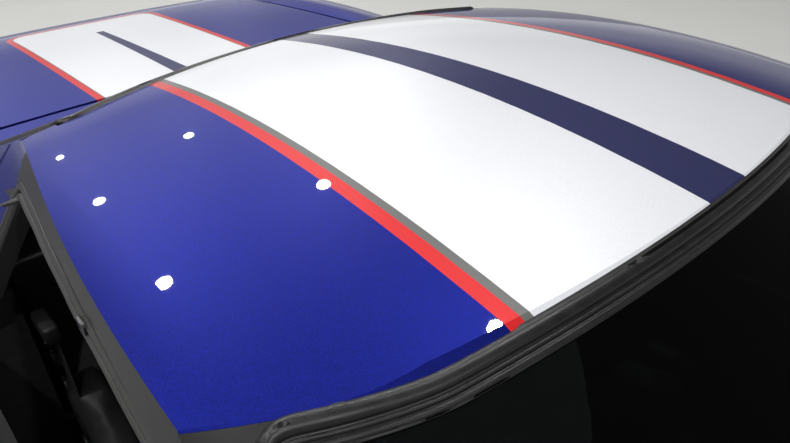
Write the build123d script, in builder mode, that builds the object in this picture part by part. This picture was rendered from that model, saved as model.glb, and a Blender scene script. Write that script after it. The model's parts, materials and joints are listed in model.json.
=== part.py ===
"""Two-seat sports coupe with a fixed roof, two doors, a bonnet, a boot lid and four road wheels.

Frame: +X points forward, +Y to the car's left and +Z up. The origin is on the floor, at the middle
of the car's length and width. All lengths are in millimetres and all angles in degrees.
"""

import math
import os

from build123d import *

os.makedirs("parts", exist_ok=True)

# Overall size and wheels
NOSE_X = 2282.0
TAIL_X = -2282.0
NOSE_BOW = 130.0
TAIL_BOW = 66.0

# Panels, glass and gaps
SKIN = 25.0
GLASS = 6.0
ROOF_SHELL = 30.0
PANEL_GAP = 4.0
MOVING_GAP = 6.0
SEAT_GAP = 0.3
LENS = 6.0
LENS_FIT = 0.996
GRILLE = 12.0

# Shut lines between the outer panels
FASCIA_LINE_X = 1930.0
TAIL_LINE_X = -1950.0
BUMPER_TOP_Z = 470.0
BONNET_REAR_X = 800.0
BONNET_REAR_CORNER_X = 700.0
BONNET_REAR_CORNER_Y = 657.0
BONNET_FRONT_X = 1985.0
DOOR_FRONT_X = 560.0
DOOR_GAP = 7.0
DOOR_REAR_X = -700.0
DOOR_BOTTOM_Z = 305.0
DOOR_INNER_Y = 745.0
SILL_TOP_Z = 299.0
SILL_INNER_Y = 737.0
LID_FRONT_X = -1348.0
LID_REAR_X = -2225.0
DECK_REAR_X = -1333.0
BONNET_FRONT_GAP = 10.0

# Road wheels, one row an axle
# columns: name, axle position along the car, wheel centre out from the middle, tyre radius, tyre width,
#          rim radius, brake disc radius, wheel arch radius
AXLES = [
    ("front", 1282.0, 780.0, 322.0, 265.0, 216.0, 163.0, 375.0),
    ("rear", -1372.0, 772.0, 332.0, 295.0, 229.0, 152.0, 385.0),
]
KINGPIN_Y = 735.0
ARM_REACH = 137.0
SPINDLE_RADIUS = 20.0
RUNNING_FIT = 0.05

# Door, bonnet and boot lid hinges
DOOR_PIN = (615.0, 842.0)
HANDLE_Y = 884.0
DOOR_PIN_RADIUS = 8.0
DOOR_EYE_RADIUS = 12.0
DOOR_HINGE_HEIGHTS = (430.0, 650.0)
DOOR_RELIEF_RADIUS = 84.5
BONNET_PIN = (675.0, 795.0)
LID_PIN = (-1480.0, 903.0)
ARM_LENGTH = 65.0
LID_PIN_RADIUS = 6.0
LID_EYE_RADIUS = 12.0

# Lower body, one cross-section a row. The underside is flat, the side is one arc from the underside
# corner through the widest point to the shoulder, the wing is one arc from the shoulder to the
# bonnet's shut line, and the bonnet or boot lid is one arc over the centre line.
# columns: x, underside half-width and height, widest half-width and height,
#          shoulder half-width and height, wing crown height, shut line half-width and height, centre height
BODY_SECTIONS = [
    (2310, 470, 255, 500, 385, 470, 440, 452, 400, 458, 466),
    (2220, 620, 225, 655, 395, 628, 480, 497, 430, 506, 520),
    (2100, 735, 205, 775, 415, 742, 530, 556, 490, 566, 586),
    (1900, 815, 190, 862, 450, 825, 600, 658, 545, 652, 672),
    (1600, 860, 178, 905, 500, 862, 688, 752, 590, 722, 748),
    (1282, 880, 170, 922, 540, 872, 745, 812, 615, 775, 806),
    (700, 875, 165, 908, 580, 858, 820, 858, 665, 862, 890),
    (-100, 875, 165, 908, 600, 860, 862, 898, 690, 905, 930),
    (-850, 885, 170, 918, 620, 866, 892, 930, 690, 936, 957),
    (-1500, 890, 190, 919, 640, 878, 908, 940, 660, 940, 950),
    (-2050, 875, 225, 908, 640, 866, 893, 920, 635, 920, 928),
    (-2300, 800, 270, 850, 640, 806, 862, 890, 610, 893, 900),
]
SHOULDER_RADIUS = 70.0
SILL_RADIUS = 50.0


def section_value(column, x):
    """The body table's value in one column at any place along the car, between its two nearest rows."""
    for front, rear in zip(BODY_SECTIONS, BODY_SECTIONS[1:]):
        if rear[0] <= x <= front[0]:
            share = (front[0] - x) / (front[0] - rear[0])
            return front[column] + share * (rear[column] - front[column])
    raise ValueError(x)


def body_section(row, inset):
    """One closed cross-section of the lower body, drawn inwards of the outer skin by inset."""
    x, under_w, under_z, wide_w, wide_z, shoulder_w, shoulder_z, crown_z, shut_w, shut_z, centre_z = row
    under = (under_w - inset, under_z + inset)
    wide = (wide_w - inset, wide_z)
    shoulder = (shoulder_w - inset, shoulder_z - inset)
    crown = ((shoulder_w - inset + shut_w) / 2, crown_z - inset)
    shut = (shut_w, shut_z - inset)
    with BuildSketch(Plane.YZ.offset(x)) as section:
        with BuildLine():
            Line((-under[0], under[1]), under)
            ThreePointArc(under, wide, shoulder)
            ThreePointArc(shoulder, crown, shut)
            ThreePointArc(shut, (0, centre_z - inset), (-shut[0], shut[1]))
            ThreePointArc((-shut[0], shut[1]), (-crown[0], crown[1]), (-shoulder[0], shoulder[1]))
            ThreePointArc((-shoulder[0], shoulder[1]), (-wide[0], wide[1]), (-under[0], under[1]))
        make_face()
        for corner, radius in ((shoulder, SHOULDER_RADIUS), (under, SILL_RADIUS)):
            here = [
                v for v in section.vertices() if abs(abs(v.X) - corner[0]) < 0.1 and abs(v.Y - corner[1]) < 0.1
            ]
            fillet(here, radius)
    return section.sketch.faces()[0]


def block(x_range, y_range, z_range):
    """A plain box between two planes along each axis, used to cut a panel out of a volume."""
    size = [high - low for low, high in (x_range, y_range, z_range)]
    middle = [(high + low) / 2 for low, high in (x_range, y_range, z_range)]
    with BuildPart(Plane.XY.offset(middle[2])) as cutter:
        with Locations((middle[0], middle[1])):
            Box(*size)
    return cutter.part


def plan_prism(inset):
    """The car's outline seen from above: a bowed nose and a bowed tail."""
    nose, tail = NOSE_X - inset, TAIL_X + inset
    nose_corner, tail_corner = nose - NOSE_BOW, tail + TAIL_BOW
    with BuildPart() as prism:
        with BuildSketch():
            with BuildLine():
                ThreePointArc((nose_corner, -760), (nose, 0), (nose_corner, 760))
                Polyline((nose_corner, 760), (nose_corner, 1000), (tail_corner, 1000), (tail_corner, 905))
                ThreePointArc((tail_corner, 905), (tail, 0), (tail_corner, -905))
                Polyline((tail_corner, -905), (tail_corner, -1000), (nose_corner, -1000), (nose_corner, -760))
            make_face()
        extrude(amount=1400)
    return prism.part


def side_prism(inset):
    """The nose and tail seen from the side: a rounded nose, and a tail that leans in below its lip."""
    nose, tail = NOSE_X - inset, TAIL_X + inset
    nose_low, nose_high = (nose - 110, 200), (nose - 45, 500)
    tail_edge = [(tail, 860), (tail + 45, 640), (tail + 70, 420), (tail + 160, 240), (tail + 160, 100)]
    with BuildPart() as prism:
        with BuildSketch(Plane.XZ):
            with BuildLine():
                ThreePointArc(nose_low, (nose - 5, 330), nose_high)
                Polyline(nose_high, (nose - 45, 1400), (tail, 1400), *tail_edge, (nose - 110, 100), nose_low)
            make_face()
        extrude(amount=1000, both=True)
    return prism.part


def body_volume(inset=0.0):
    """The closed lower body from nose to tail, drawn inwards of the outer skin by inset."""
    with BuildPart() as volume:
        loft([body_section(row, inset) for row in BODY_SECTIONS])
        add(plan_prism(inset), mode=Mode.INTERSECT)
        add(side_prism(inset), mode=Mode.INTERSECT)
    return volume.part


# Glasshouse: a ring at the waist and a ring above the roof, joined by straight lines and capped by the roof
WAIST_Z = 830.0
UPPER_Z = 1230.0
ROOF_PEAK = (-355.0, 1212.0)
ROOF_LENGTH_RADIUS = 2649.0
ROOF_WIDTH_RADIUS = 3891.0
ROOF_SHOULDER_Y = 570.0
ROOF_SHOULDER_RADIUS = 483.0


def glass_ring(z, front, knee, bend, corner, side, tail_corner, rear):
    """A closed ring seen from above: a front end of three arcs, two bowed sides and a bowed rear end."""
    left = [knee, bend, corner, side, tail_corner]
    right = [(x, -y) for x, y in left]
    with BuildSketch(Plane.XY.offset(z)) as ring:
        with BuildLine():
            ThreePointArc(right[0], (front, 0), left[0])
            ThreePointArc(left[0], left[1], left[2])
            ThreePointArc(left[2], left[3], left[4])
            ThreePointArc(left[4], (rear, 0), right[4])
            ThreePointArc(right[4], right[3], right[2])
            ThreePointArc(right[2], right[1], right[0])
        make_face()
    return ring.sketch.faces()[0]


def roof_volume(inset):
    """Everything below the roof's outer skin: one curve across the car swept on one radius along it."""
    across, shoulder, top = ROOF_WIDTH_RADIUS - inset, ROOF_SHOULDER_RADIUS - inset, ROOF_PEAK[1] - inset
    lean = math.asin(ROOF_SHOULDER_Y / ROOF_WIDTH_RADIUS)
    join = (across * math.sin(lean), top - across * (1 - math.cos(lean)))
    middle = (join[0] - shoulder * math.sin(lean), join[1] - shoulder * math.cos(lean))
    low = math.radians(75)
    half = (lean + low) / 2
    end = (middle[0] + shoulder * math.sin(low), middle[1] + shoulder * math.cos(low))
    mid = (middle[0] + shoulder * math.sin(half), middle[1] + shoulder * math.cos(half))
    axis = Axis((ROOF_PEAK[0], 0, ROOF_PEAK[1] - ROOF_LENGTH_RADIUS), (0, 1, 0))
    with BuildPart() as roof:
        with BuildSketch(Plane.YZ.offset(ROOF_PEAK[0])):
            with BuildLine():
                ThreePointArc((-join[0], join[1]), (0, top), join)
                ThreePointArc(join, mid, end)
                Polyline(end, (end[0], 700), (-end[0], 700), (-end[0], end[1]))
                ThreePointArc((-end[0], end[1]), (-mid[0], mid[1]), (-join[0], join[1]))
            make_face()
        revolve(axis=axis, revolution_arc=60)
    return roof.part.rotate(axis, -30)


def glasshouse(depth):
    """The glasshouse as a closed volume, drawn inwards of its outer surface by depth."""
    front, side, rear = 2.43 * depth, 1.15 * depth, 2.2 * depth
    knee = (2.3 * depth, 0.4 * depth)
    bend = (1.9 * depth, 1.0 * depth)
    corner = (1.4 * depth, 1.5 * depth)
    tail = (-1.5 * depth, 1.4 * depth)

    def moved_in(point, shift):
        return (point[0] - shift[0], point[1] - shift[1])

    waist = glass_ring(
        WAIST_Z, 826 - front, moved_in((704, 571), knee), moved_in((638, 671), bend),
        moved_in((526, 757), corner), (-291, 791 - side), moved_in((-1523, 605), tail), -1557 + rear,
    )
    upper = glass_ring(
        UPPER_Z, -59.5 - front, moved_in((-150, 424), knee), moved_in((-200, 522), bend),
        moved_in((-274, 598), corner), (-411, 572 - side), moved_in((-548, 535), tail), -701 + rear,
    )
    with BuildPart() as volume:
        loft([waist, upper], ruled=True)
        add(roof_volume(depth), mode=Mode.INTERSECT)
    return volume.part


def prism_z(points, low=0.0, high=1500.0):
    """A vertical prism with straight sides, drawn by its corners seen from above."""
    with BuildPart() as prism:
        with BuildSketch(Plane.XY.offset(low)):
            with BuildLine():
                Polyline(*points, close=True)
            make_face()
        extrude(amount=high - low)
    return prism.part


def prism_y(points, low=-1000.0, high=1000.0):
    """A prism across the car with straight sides, drawn by its corners seen from the car's right."""
    with BuildPart() as prism:
        with BuildSketch(Plane.XZ.offset(-high)):
            with BuildLine():
                Polyline(*points, close=True)
            make_face()
        extrude(amount=high - low)
    return prism.part


def tube_y(x, z, radius, low, high):
    """A solid cylinder across the car between two planes."""
    with BuildPart() as tube:
        with BuildSketch(Plane.XZ.offset(-high)):
            with Locations((x, z)):
                Circle(radius)
        extrude(amount=high - low)
    return tube.part


def tube_z(x, y, radius, low, high):
    """A solid upright cylinder between two heights."""
    with BuildPart() as tube:
        with BuildSketch(Plane.XY.offset(low)):
            with Locations((x, y)):
                Circle(radius)
        extrude(amount=high - low)
    return tube.part


def tube_x(y, z, radius, low, high):
    """A solid cylinder along the car between two planes."""
    with BuildPart() as tube:
        with BuildSketch(Plane.YZ.offset(low)):
            with Locations((y, z)):
                Circle(radius)
        extrude(amount=high - low)
    return tube.part


def mirrored(part):
    """The same piece on the car's other side."""
    with BuildPart() as other:
        add(part)
        mirror(about=Plane.XZ, mode=Mode.REPLACE)
    return other.part


def with_pieces(first, *rest):
    """Several solids of one piece as one compound."""
    with BuildPart() as whole:
        add(first)
        for other in rest:
            add(other)
    return whole.part


def common(first, *rest):
    """What all the given volumes share."""
    with BuildPart() as shared:
        add(first)
        for other in rest:
            add(other, mode=Mode.INTERSECT)
    return shared.part


def cut(first, *rest):
    """The first volume with the others cut away."""
    with BuildPart() as left_over:
        add(first)
        for other in rest:
            add(other, mode=Mode.SUBTRACT)
    return left_over.part


def save(name, part):
    """Writes one piece to its own file under its own name."""
    part.label = name
    export_step(part, f"parts/{name}.step")


def shut_line(x):
    """Half-width of the bonnet's and boot lid's side shut line at one place along the car."""
    return section_value(8, x)


def arches(extra=0.0):
    """The four wheel arch openings as cylinders across the car."""
    return [
        tube_y(axle_x, tyre_r, arch_r + extra, side * 455 if side > 0 else -1000, 1000 if side > 0 else -455)
        for _, axle_x, _, tyre_r, _, _, _, arch_r in AXLES
        for side in (1, -1)
    ]


body = body_volume()
body_inside = body_volume(SKIN)
body_seat = body_volume(SKIN + SEAT_GAP)
body_skin = cut(body, body_inside)

# Nose, tail and side panels, the left side first and then mirrored
nose_zone = with_pieces(
    block((FASCIA_LINE_X + 2, 2400), (-1000, 1000), (0, 1200)),
    block((1640, FASCIA_LINE_X + 10), (-1000, 1000), (0, BUMPER_TOP_Z)),
)
bonnet_outline = [
    (BONNET_FRONT_X, shut_line(BONNET_FRONT_X)),
    (1900, shut_line(1900)),
    (1282, shut_line(1282)),
    (BONNET_REAR_CORNER_X, BONNET_REAR_CORNER_Y),
]
bonnet_rear = [
    (BONNET_REAR_CORNER_X + 30, 560),
    (BONNET_REAR_X - 25, 330),
    (BONNET_REAR_X, 0),
    (BONNET_REAR_X - 25, -330),
    (BONNET_REAR_CORNER_X + 30, -560),
]


def bonnet_zone(grow):
    """The bonnet's outline seen from above, grown or shrunk by one gap all round."""
    ahead = BONNET_FRONT_GAP if grow else 0
    left = [(x + (ahead if index == 0 else 0), y + grow) for index, (x, y) in enumerate(bonnet_outline)]
    right = [(x, -y) for x, y in reversed(left)]
    rear = [(x - grow, y) for x, y in bonnet_rear]
    left[-1] = (left[-1][0] - grow, left[-1][1])
    right[0] = (right[0][0] - grow, right[0][1])
    return prism_z(left + rear + right, 300, 1200)


# Lamps: a clear lens flush with the body over a deep cup whose rim lies behind the panel
lens_volume = body_volume(LENS)
cup_volume = body_volume(LENS + SEAT_GAP)
front_lamp_plan = [(2132, 470), (2112, 575), (2042, 690), (1978, 742), (1962, 648), (2012, 548)]


def grown(points, factor):
    """The same outline drawn larger or smaller about its middle."""
    middle_x = sum(x for x, _ in points) / len(points)
    middle_y = sum(y for _, y in points) / len(points)
    return [(middle_x + (x - middle_x) * factor, middle_y + (y - middle_y) * factor) for x, y in points]


def front_lamp_zone(factor, low):
    """The front lamp's opening seen from above, from one height upwards."""
    return prism_z(grown(front_lamp_plan, factor), low, 900)


def rear_lamp_zone(grow, rear=-2400):
    """Two rounded lamp openings in the left half of the tail, seen from behind."""
    with BuildPart() as zone:
        with BuildSketch(Plane.YZ.offset(rear)):
            with Locations((520, 700), (720, 700)):
                RectangleRounded(170 + 2 * grow, 92 + 2 * grow, 40 + grow)
        extrude(amount=-2150 - rear)
    return zone.part


front_opening, rear_opening = front_lamp_zone(1, 430), rear_lamp_zone(0)
front_lens = cut(common(body, front_lamp_zone(LENS_FIT, 440)), lens_volume)
front_cup_rim = common(body_seat, front_lamp_zone(1.1, 440))
front_cup = cut(
    with_pieces(common(cup_volume, front_lamp_zone(LENS_FIT, 440)), front_cup_rim),
    front_lamp_zone(0.9, 452),
    block((1900, 1956), (400, 900), (400, 900)),
    bonnet_zone(12),
)
rear_lens = cut(common(body, rear_lamp_zone(-SEAT_GAP)), lens_volume)
rear_cup = cut(
    with_pieces(common(cup_volume, rear_lamp_zone(-SEAT_GAP)), common(body_seat, rear_lamp_zone(8))),
    rear_lamp_zone(-8),
)
rear_cup_floor = cut(rear_lamp_zone(-8), block((-2500, -2160), (0, 1000), (0, 1000)))
rear_cup = with_pieces(rear_cup, common(body_seat, rear_cup_floor))
save("front_lamps", with_pieces(front_lens, mirrored(front_lens)))
save("front_lamp_cups", with_pieces(front_cup, mirrored(front_cup)))
save("tail_lamps", with_pieces(rear_lens, mirrored(rear_lens)))
save("tail_lamp_cups", with_pieces(rear_cup, mirrored(rear_cup)))

# Air intakes: a wide one under the nose and one on each side, with slatted grilles behind the skin
INTAKES = [
    # centre y, half-width at the skin, lower z, upper z
    (0.0, 360.0, 262.0, 330.0),
    (555.0, 85.0, 268.0, 324.0),
    (-555.0, 85.0, 268.0, 324.0),
]
intake_holes, grille_blocks, slat_gaps = [], [], []
for middle_y, half_width, low_z, high_z in INTAKES:
    left_y, right_y = middle_y - half_width, middle_y + half_width
    intake_holes.append(block((2060, 2400), (left_y, right_y), (low_z, high_z)))
    grille_blocks.append(block((2060, 2400), (left_y - 20, right_y + 20), (low_z - 8, high_z + 20)))
    slat_height = (high_z - low_z - 16) / 3
    for slat in range(3):
        low = low_z + 2 + slat * (slat_height + 6)
        slat_gaps.append(block((2060, 2400), (left_y + 8, middle_y - 4), (low, low + slat_height)))
        slat_gaps.append(block((2060, 2400), (middle_y + 4, right_y - 8), (low, low + slat_height)))
front_fascia = cut(
    common(body_skin, nose_zone),
    bonnet_zone(MOVING_GAP),
    front_opening,
    mirrored(front_opening),
    *intake_holes,
    *arches()[:2],
)
save("front_fascia", front_fascia)
grilles = cut(common(body_seat, with_pieces(*grille_blocks)), body_volume(SKIN + GRILLE), *slat_gaps)
save("grilles", grilles)

cowl_front = [
    (BONNET_REAR_X + 40, 0),
    (BONNET_REAR_X - 10, 560),
    (BONNET_REAR_CORNER_X - MOVING_GAP, 660),
    (566, 660),
    (566, 739),
    (400, 739),
]
cowl_rear = [(480, 640), (590, 500), (690, 0), (590, -500), (480, -640)]
cowl_zone = prism_z(cowl_front + cowl_rear + [(x, -y) for x, y in reversed(cowl_front[1:])], 300, 1200)
fender_zone = block((DOOR_FRONT_X + DOOR_GAP, FASCIA_LINE_X - 2), (300, 1000), (SILL_TOP_Z + PANEL_GAP, 1000))
behind_bonnet = [
    (0, 0),
    (BONNET_REAR_X + 60, 0),
    (BONNET_REAR_X + 20, 330),
    (BONNET_REAR_CORNER_X + 50, 560),
    (BONNET_REAR_CORNER_X + 15, 650),
    (BONNET_REAR_CORNER_X - MOVING_GAP, 663),
    (0, 663),
]
front_fender = cut(
    common(body_skin, fender_zone),
    block((1640 - PANEL_GAP, 2000), (300, 1000), (0, BUMPER_TOP_Z + PANEL_GAP)),
    bonnet_zone(MOVING_GAP),
    prism_z(behind_bonnet, 300, 1200),
    arches()[0],
    prism_y([(672, 548), (858, 566), (884, 500), (722, 478)], 800, 1000),
)
save("front_fender_left", front_fender)
save("front_fender_right", mirrored(front_fender))

bonnet_panel = common(body_skin, bonnet_zone(0))
cowl_top = body_volume(40)
cowl_under = body_volume(52)
arm_notch = block((684, 800), (582, 618), (700, 900))
cowl_base = cut(
    common(cowl_top, cowl_zone),
    cowl_under,
    bonnet_zone(MOVING_GAP),
    arm_notch,
    mirrored(arm_notch),
)

# Rear quarters, tail and boot lid
lid_outline = [(x, shut_line(x)) for x in (LID_FRONT_X, -1500, LID_REAR_X)]


def lid_zone(grow):
    """The boot lid's outline seen from above, grown by one gap at its sides and rear."""
    left = [(x - (grow if index == 2 else 0), y + grow) for index, (x, y) in enumerate(lid_outline)]
    if grow:
        left[0] = (DECK_REAR_X, left[0][1])
    return prism_z(left + [(x, -y) for x, y in reversed(left)], 800, 1200)


lid_panel = common(body_skin, lid_zone(0))
quarter_plan = [
    (DOOR_REAR_X - MOVING_GAP, 1000),
    (DOOR_REAR_X - MOVING_GAP, 676),
    (-1300, 585),
    (DECK_REAR_X, 585),
    (DECK_REAR_X, 640),
    (TAIL_LINE_X + 2, 600),
    (TAIL_LINE_X + 2, 1000),
]
quarter_panel = cut(
    common(body_skin, prism_z(quarter_plan, SILL_TOP_Z + PANEL_GAP, 1200)),
    block((-2000, -1750), (300, 1000), (0, BUMPER_TOP_Z + PANEL_GAP)),
    lid_zone(MOVING_GAP + 1),
    arches()[2],
)
tail_zone = with_pieces(
    block((-2400, TAIL_LINE_X - 2), (-1000, 1000), (0, 1200)),
    block((TAIL_LINE_X - 10, -1760), (-1000, 1000), (0, BUMPER_TOP_Z)),
)
rear_fascia = cut(
    common(body_skin, tail_zone),
    lid_zone(MOVING_GAP + 1),
    block((-2400, -2000), (-190, 190), (0, 350)),
    block((-2400, -2217), (-262, 262), (462, 598)),
    rear_opening,
    mirrored(rear_opening),
    *arches()[2:],
)
sill = cut(common(body, block((-984, 906), (SILL_INNER_Y, 1000), (0, SILL_TOP_Z))), *arches()[::2])
deck_panel = cut(
    common(body_skin, block((DECK_REAR_X, -1180), (-581, 581), (500, 1200))),
    glasshouse(0).moved(Location((-2, 0, 0))),
)

# Doors
door_plan = [(DOOR_FRONT_X, DOOR_INNER_Y), (DOOR_FRONT_X, 1000), (DOOR_REAR_X, 1000), (DOOR_REAR_X, 880),
             (DOOR_REAR_X + 20, DOOR_INNER_Y)]
pin_x, pin_y = DOOR_PIN
door_arms = [
    with_pieces(
        block((pin_x - DOOR_EYE_RADIUS, pin_x + DOOR_EYE_RADIUS), (755, pin_y), (height - 20, height + 20)),
        block((DOOR_FRONT_X - 30, pin_x + DOOR_EYE_RADIUS), (755, 779), (height - 20, height + 20)),
        tube_z(pin_x, pin_y, DOOR_EYE_RADIUS, height - 20, height + 20),
    )
    for height in DOOR_HINGE_HEIGHTS
]
door = cut(
    common(body, prism_z(door_plan, DOOR_BOTTOM_Z, 1200)),
    tube_z(pin_x, pin_y, DOOR_RELIEF_RADIUS, 200, 1000),
)
with BuildPart() as handle_pocket:
    with BuildSketch(Plane.XZ.offset(-HANDLE_Y + 16)):
        with Locations((-580, 772)):
            RectangleRounded(140, 46, 20)
    extrude(amount=-200)
handle_pocket = handle_pocket.part
door = cut(
    with_pieces(door, *door_arms),
    tube_z(pin_x, pin_y, DOOR_PIN_RADIUS + RUNNING_FIT, 200, 1000),
    handle_pocket,
)
door = with_pieces(door, common(body, block((-644, -516), (HANDLE_Y - 20, 1000), (755, 789))))
door_trim = with_pieces(
    block((-640, 390), (727, DOOR_INNER_Y - SEAT_GAP), (330, 822)),
    prism_y([(-520, 560), (200, 590), (260, 620), (200, 632), (-520, 612)], 668, 730),
    prism_y([(-420, 350), (300, 350), (300, 450), (-420, 450)], 705, 730),
)

# Bonnet and boot lid with their hinge eyes
BONNET_HINGE_Y = 588.0
LID_HINGE_Y = 540.0
HINGE_WIDTH = 24.0


def lid_with_eyes(panel, pin, radius, skin_z):
    """A hinged panel with one round-ended eye hanging from its underside near each side."""
    x, z = pin
    eyes = []
    for side in (1, -1):
        low, high = sorted((side * LID_HINGE_Y, side * (LID_HINGE_Y + HINGE_WIDTH)))
        eyes.append(block((x - LID_EYE_RADIUS, x + LID_EYE_RADIUS), (low, high), (z, skin_z)))
        eyes.append(tube_y(x, z, LID_EYE_RADIUS, low, high))
    return cut(with_pieces(panel, *eyes), tube_y(x, z, radius + RUNNING_FIT, -700, 700))




def bonnet_arm(side):
    """A goose-neck arm from the bonnet's underside back to an eye below the cowl, on one side of the car."""
    x, z = BONNET_PIN
    low, high = sorted((side * BONNET_HINGE_Y, side * (BONNET_HINGE_Y + HINGE_WIDTH)))
    return with_pieces(
        tube_y(x, z, LID_EYE_RADIUS, low, high),
        block((x, x + ARM_LENGTH), (low, high), (z - 14, z + 2)),
        block((x + ARM_LENGTH - 16, x + ARM_LENGTH), (low, high), (z - 14, z + 55)),
    )


bonnet = cut(
    with_pieces(bonnet_panel, bonnet_arm(1), bonnet_arm(-1)),
    tube_y(*BONNET_PIN, LID_PIN_RADIUS + RUNNING_FIT, -700, 700),
)
boot_lid = lid_with_eyes(lid_panel, LID_PIN, LID_PIN_RADIUS, 925)
for name, panel in (
    ("bonnet", bonnet), ("boot_lid", boot_lid), ("cowl_panel", cowl_base), ("rear_fascia", rear_fascia),
    ("deck_panel", deck_panel), ("quarter_panel_left", quarter_panel), ("door_left", door),
    ("quarter_panel_right", mirrored(quarter_panel)), ("door_right", mirrored(door)),
    ("door_trim_left", door_trim), ("door_trim_right", mirrored(door_trim)),
    ("sills", with_pieces(sill, mirrored(sill))),
):
    save(name, panel)

# Glasshouse: shells at the depths of the glass and of the roof
outer_volume = glasshouse(0)
under_glass = glasshouse(GLASS)
flange_volume = glasshouse(GLASS + SEAT_GAP)
inner_volume = glasshouse(ROOF_SHELL)
shell = cut(outer_volume, inner_volume)
flange_shell = cut(flange_volume, inner_volume)
glass_shell = cut(outer_volume, under_glass)


def front_zone(header, pillar):
    """The windshield seen from above: ahead of its header edge and, with a pillar, inside both pillars."""
    with BuildSketch(Plane.XY.offset(WAIST_Z - 10)) as outline:
        with BuildLine():
            ThreePointArc((header, -450), (49 + header, 0), (header, 450))
            ThreePointArc((header, 450), (header - 43, 550), (header - 103, 632))
            Polyline((header - 103, 632), (header - 103, 1000), (1000, 1000),
                     (1000, -1000), (header - 103, -1000),
                     (header - 103, -632))
            ThreePointArc((header - 103, -632), (header - 43, -550), (header, -450))
        make_face()
        if pillar:
            top, foot = (-203, 612 - pillar), (520, 756 - pillar)
            with BuildLine():
                right_foot = (foot[0], -foot[1])
                Polyline(top, foot, (1000, foot[1]), (1000, -foot[1]), right_foot, (top[0], -top[1]), close=True)
            make_face(mode=Mode.INTERSECT)
            fillet([v for v in outline.vertices() if v.X < 200 and abs(v.Y) > 480], 30)
    with BuildPart() as zone:
        add(outline.sketch)
        extrude(amount=420)
    return zone.part


def rear_zone(header, pillar, sill_x):
    """The rear window seen from above, moved inwards of the creases of the roof and rear pillars."""
    corner = (-757 - header, 538 - pillar)
    foot = (sill_x, 595 - pillar)
    with BuildPart() as zone:
        with BuildSketch(Plane.XY.offset(WAIST_Z - 10)):
            with BuildLine():
                ThreePointArc((corner[0], -corner[1]), (-830 - header, 0), corner)
                Line(corner, foot)
                ThreePointArc(foot, (sill_x - 28, 0), (foot[0], -foot[1]))
                Line((foot[0], -foot[1]), (corner[0], -corner[1]))
            make_face()
        extrude(amount=400)
    return zone.part


window_outline = [
    (480, 820), (-116, 1112), (-250, 1131), (-390, 1139), (-530, 1136), (-672, 1122), (-739, 820),
]
strip_outline = [
    (434, 820), (-112, 1092), (-250, 1112), (-390, 1120), (-530, 1117), (-656, 1104), (-712, 822),
]
window_hole = prism_y(window_outline)
ahead_of_roof = front_zone(4, 0)
behind_frame = front_zone(4.3, 0)
front_glass_hole = front_zone(8, 40)
rear_glass_hole = rear_zone(8, 42, -1262)
raised_body = body.moved(Location((0, 0, SEAT_GAP)))
raised_cowl = cowl_top.moved(Location((0, 0, SEAT_GAP)))
beside_bonnet = block((560, 1000), (655, 1000), (800, 1000))
under_bonnet = with_pieces(
    block((750, 1000), (-1000, 1000), (800, 1000)),
    beside_bonnet,
    mirrored(beside_bonnet),
)

roof_panel = cut(
    with_pieces(
        cut(shell, ahead_of_roof, window_hole, rear_glass_hole),
        cut(common(flange_shell, rear_glass_hole), rear_zone(48, 82, -1225)),
    ),
    common(raised_body, block((-2000, -600), (560, 1000), (0, 1200))),
    common(raised_body, block((-2000, -600), (-1000, -560), (0, 1200))),
    block((-1600, -1240), (-570, 570), (800, 925)),
    block((-1600, -1324), (-570, 570), (800, 1000)),
)
flange_hole = cut(front_zone(58, 85), block((-200, 1000), (-1000, 1000), (0, 862)))
windshield_frame = cut(
    with_pieces(
        cut(common(shell, behind_frame), window_hole, front_glass_hole),
        cut(common(flange_shell, front_glass_hole, behind_frame), flange_hole),
    ),
    block((-200, 800), (739, 1000), (800, 940)),
    block((-200, 800), (-1000, -739), (800, 940)),
    raised_cowl,
    under_bonnet,
)
windshield_glass = cut(common(glass_shell, front_zone(34, 66)), raised_cowl, under_bonnet)
windshield_moulding = cut(common(glass_shell, cut(front_zone(8.3, 40.3), front_zone(33.7, 65.7))), raised_cowl,
                          under_bonnet)
rear_glass = common(glass_shell, rear_zone(34, 68, -1250))
rear_glass_moulding = common(glass_shell, cut(rear_zone(8.3, 42.3, -1261.7), rear_zone(33.7, 67.7, -1250.3)))
door_weatherstrips = cut(
    common(cut(under_glass, inner_volume), cut(window_hole, prism_y(strip_outline))),
    block((-1000, 800), (-1000, 1000), (800, 912)),
    block((-1000, -680), (-1000, 1000), (800, 942)),
    block((-1000, 800), (-400, 400), (800, 1300)),
)
for name, panel in (
    ("roof_panel", roof_panel), ("windshield_frame", windshield_frame), ("windshield_glass", windshield_glass),
    ("windshield_moulding", windshield_moulding), ("rear_glass", rear_glass),
    ("rear_glass_moulding", rear_glass_moulding), ("door_weatherstrips", door_weatherstrips),
):
    save(name, panel)


# Chassis: floor, rails, tunnel, bulkheads, hinge pillars and the plates that carry the outer panels
front_x, rear_x = AXLES[0][1], AXLES[1][1]
door_pillar = cut(
    common(body_seat, block((635, 675), (640, 1000), (165, 1000))),
    block((600, 700), (736.7, 1000), (0, SILL_TOP_Z + PANEL_GAP + SEAT_GAP)),
    block((600, 700), (0, 742), (780, 1000)),
)
cowl_rest = common(cowl_under.moved(Location((0, 0, -SEAT_GAP))), block((635, 675), (640, 735), (770, 1000)))
latch_pillar = cut(
    common(body_seat, block((-790, -750), (640, 1000), (165, 1000))),
    block((-800, -700), (736.7, 1000), (0, SILL_TOP_Z + PANEL_GAP + SEAT_GAP)),
)
nose_plate = cut(
    common(body_seat, block((1905, 1955), (445, 1000), (180, 1000))),
    block((1900, 2000), (0, 556), (300, 1000)),
    bonnet_zone(12),
)
tail_plate = cut(
    common(body_seat, block((-1975, -1925), (445, 1000), (180, 1000))),
    block((-2000, -1900), (0, 656), (600, 1000)),
)
hinge_lugs = []
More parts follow.
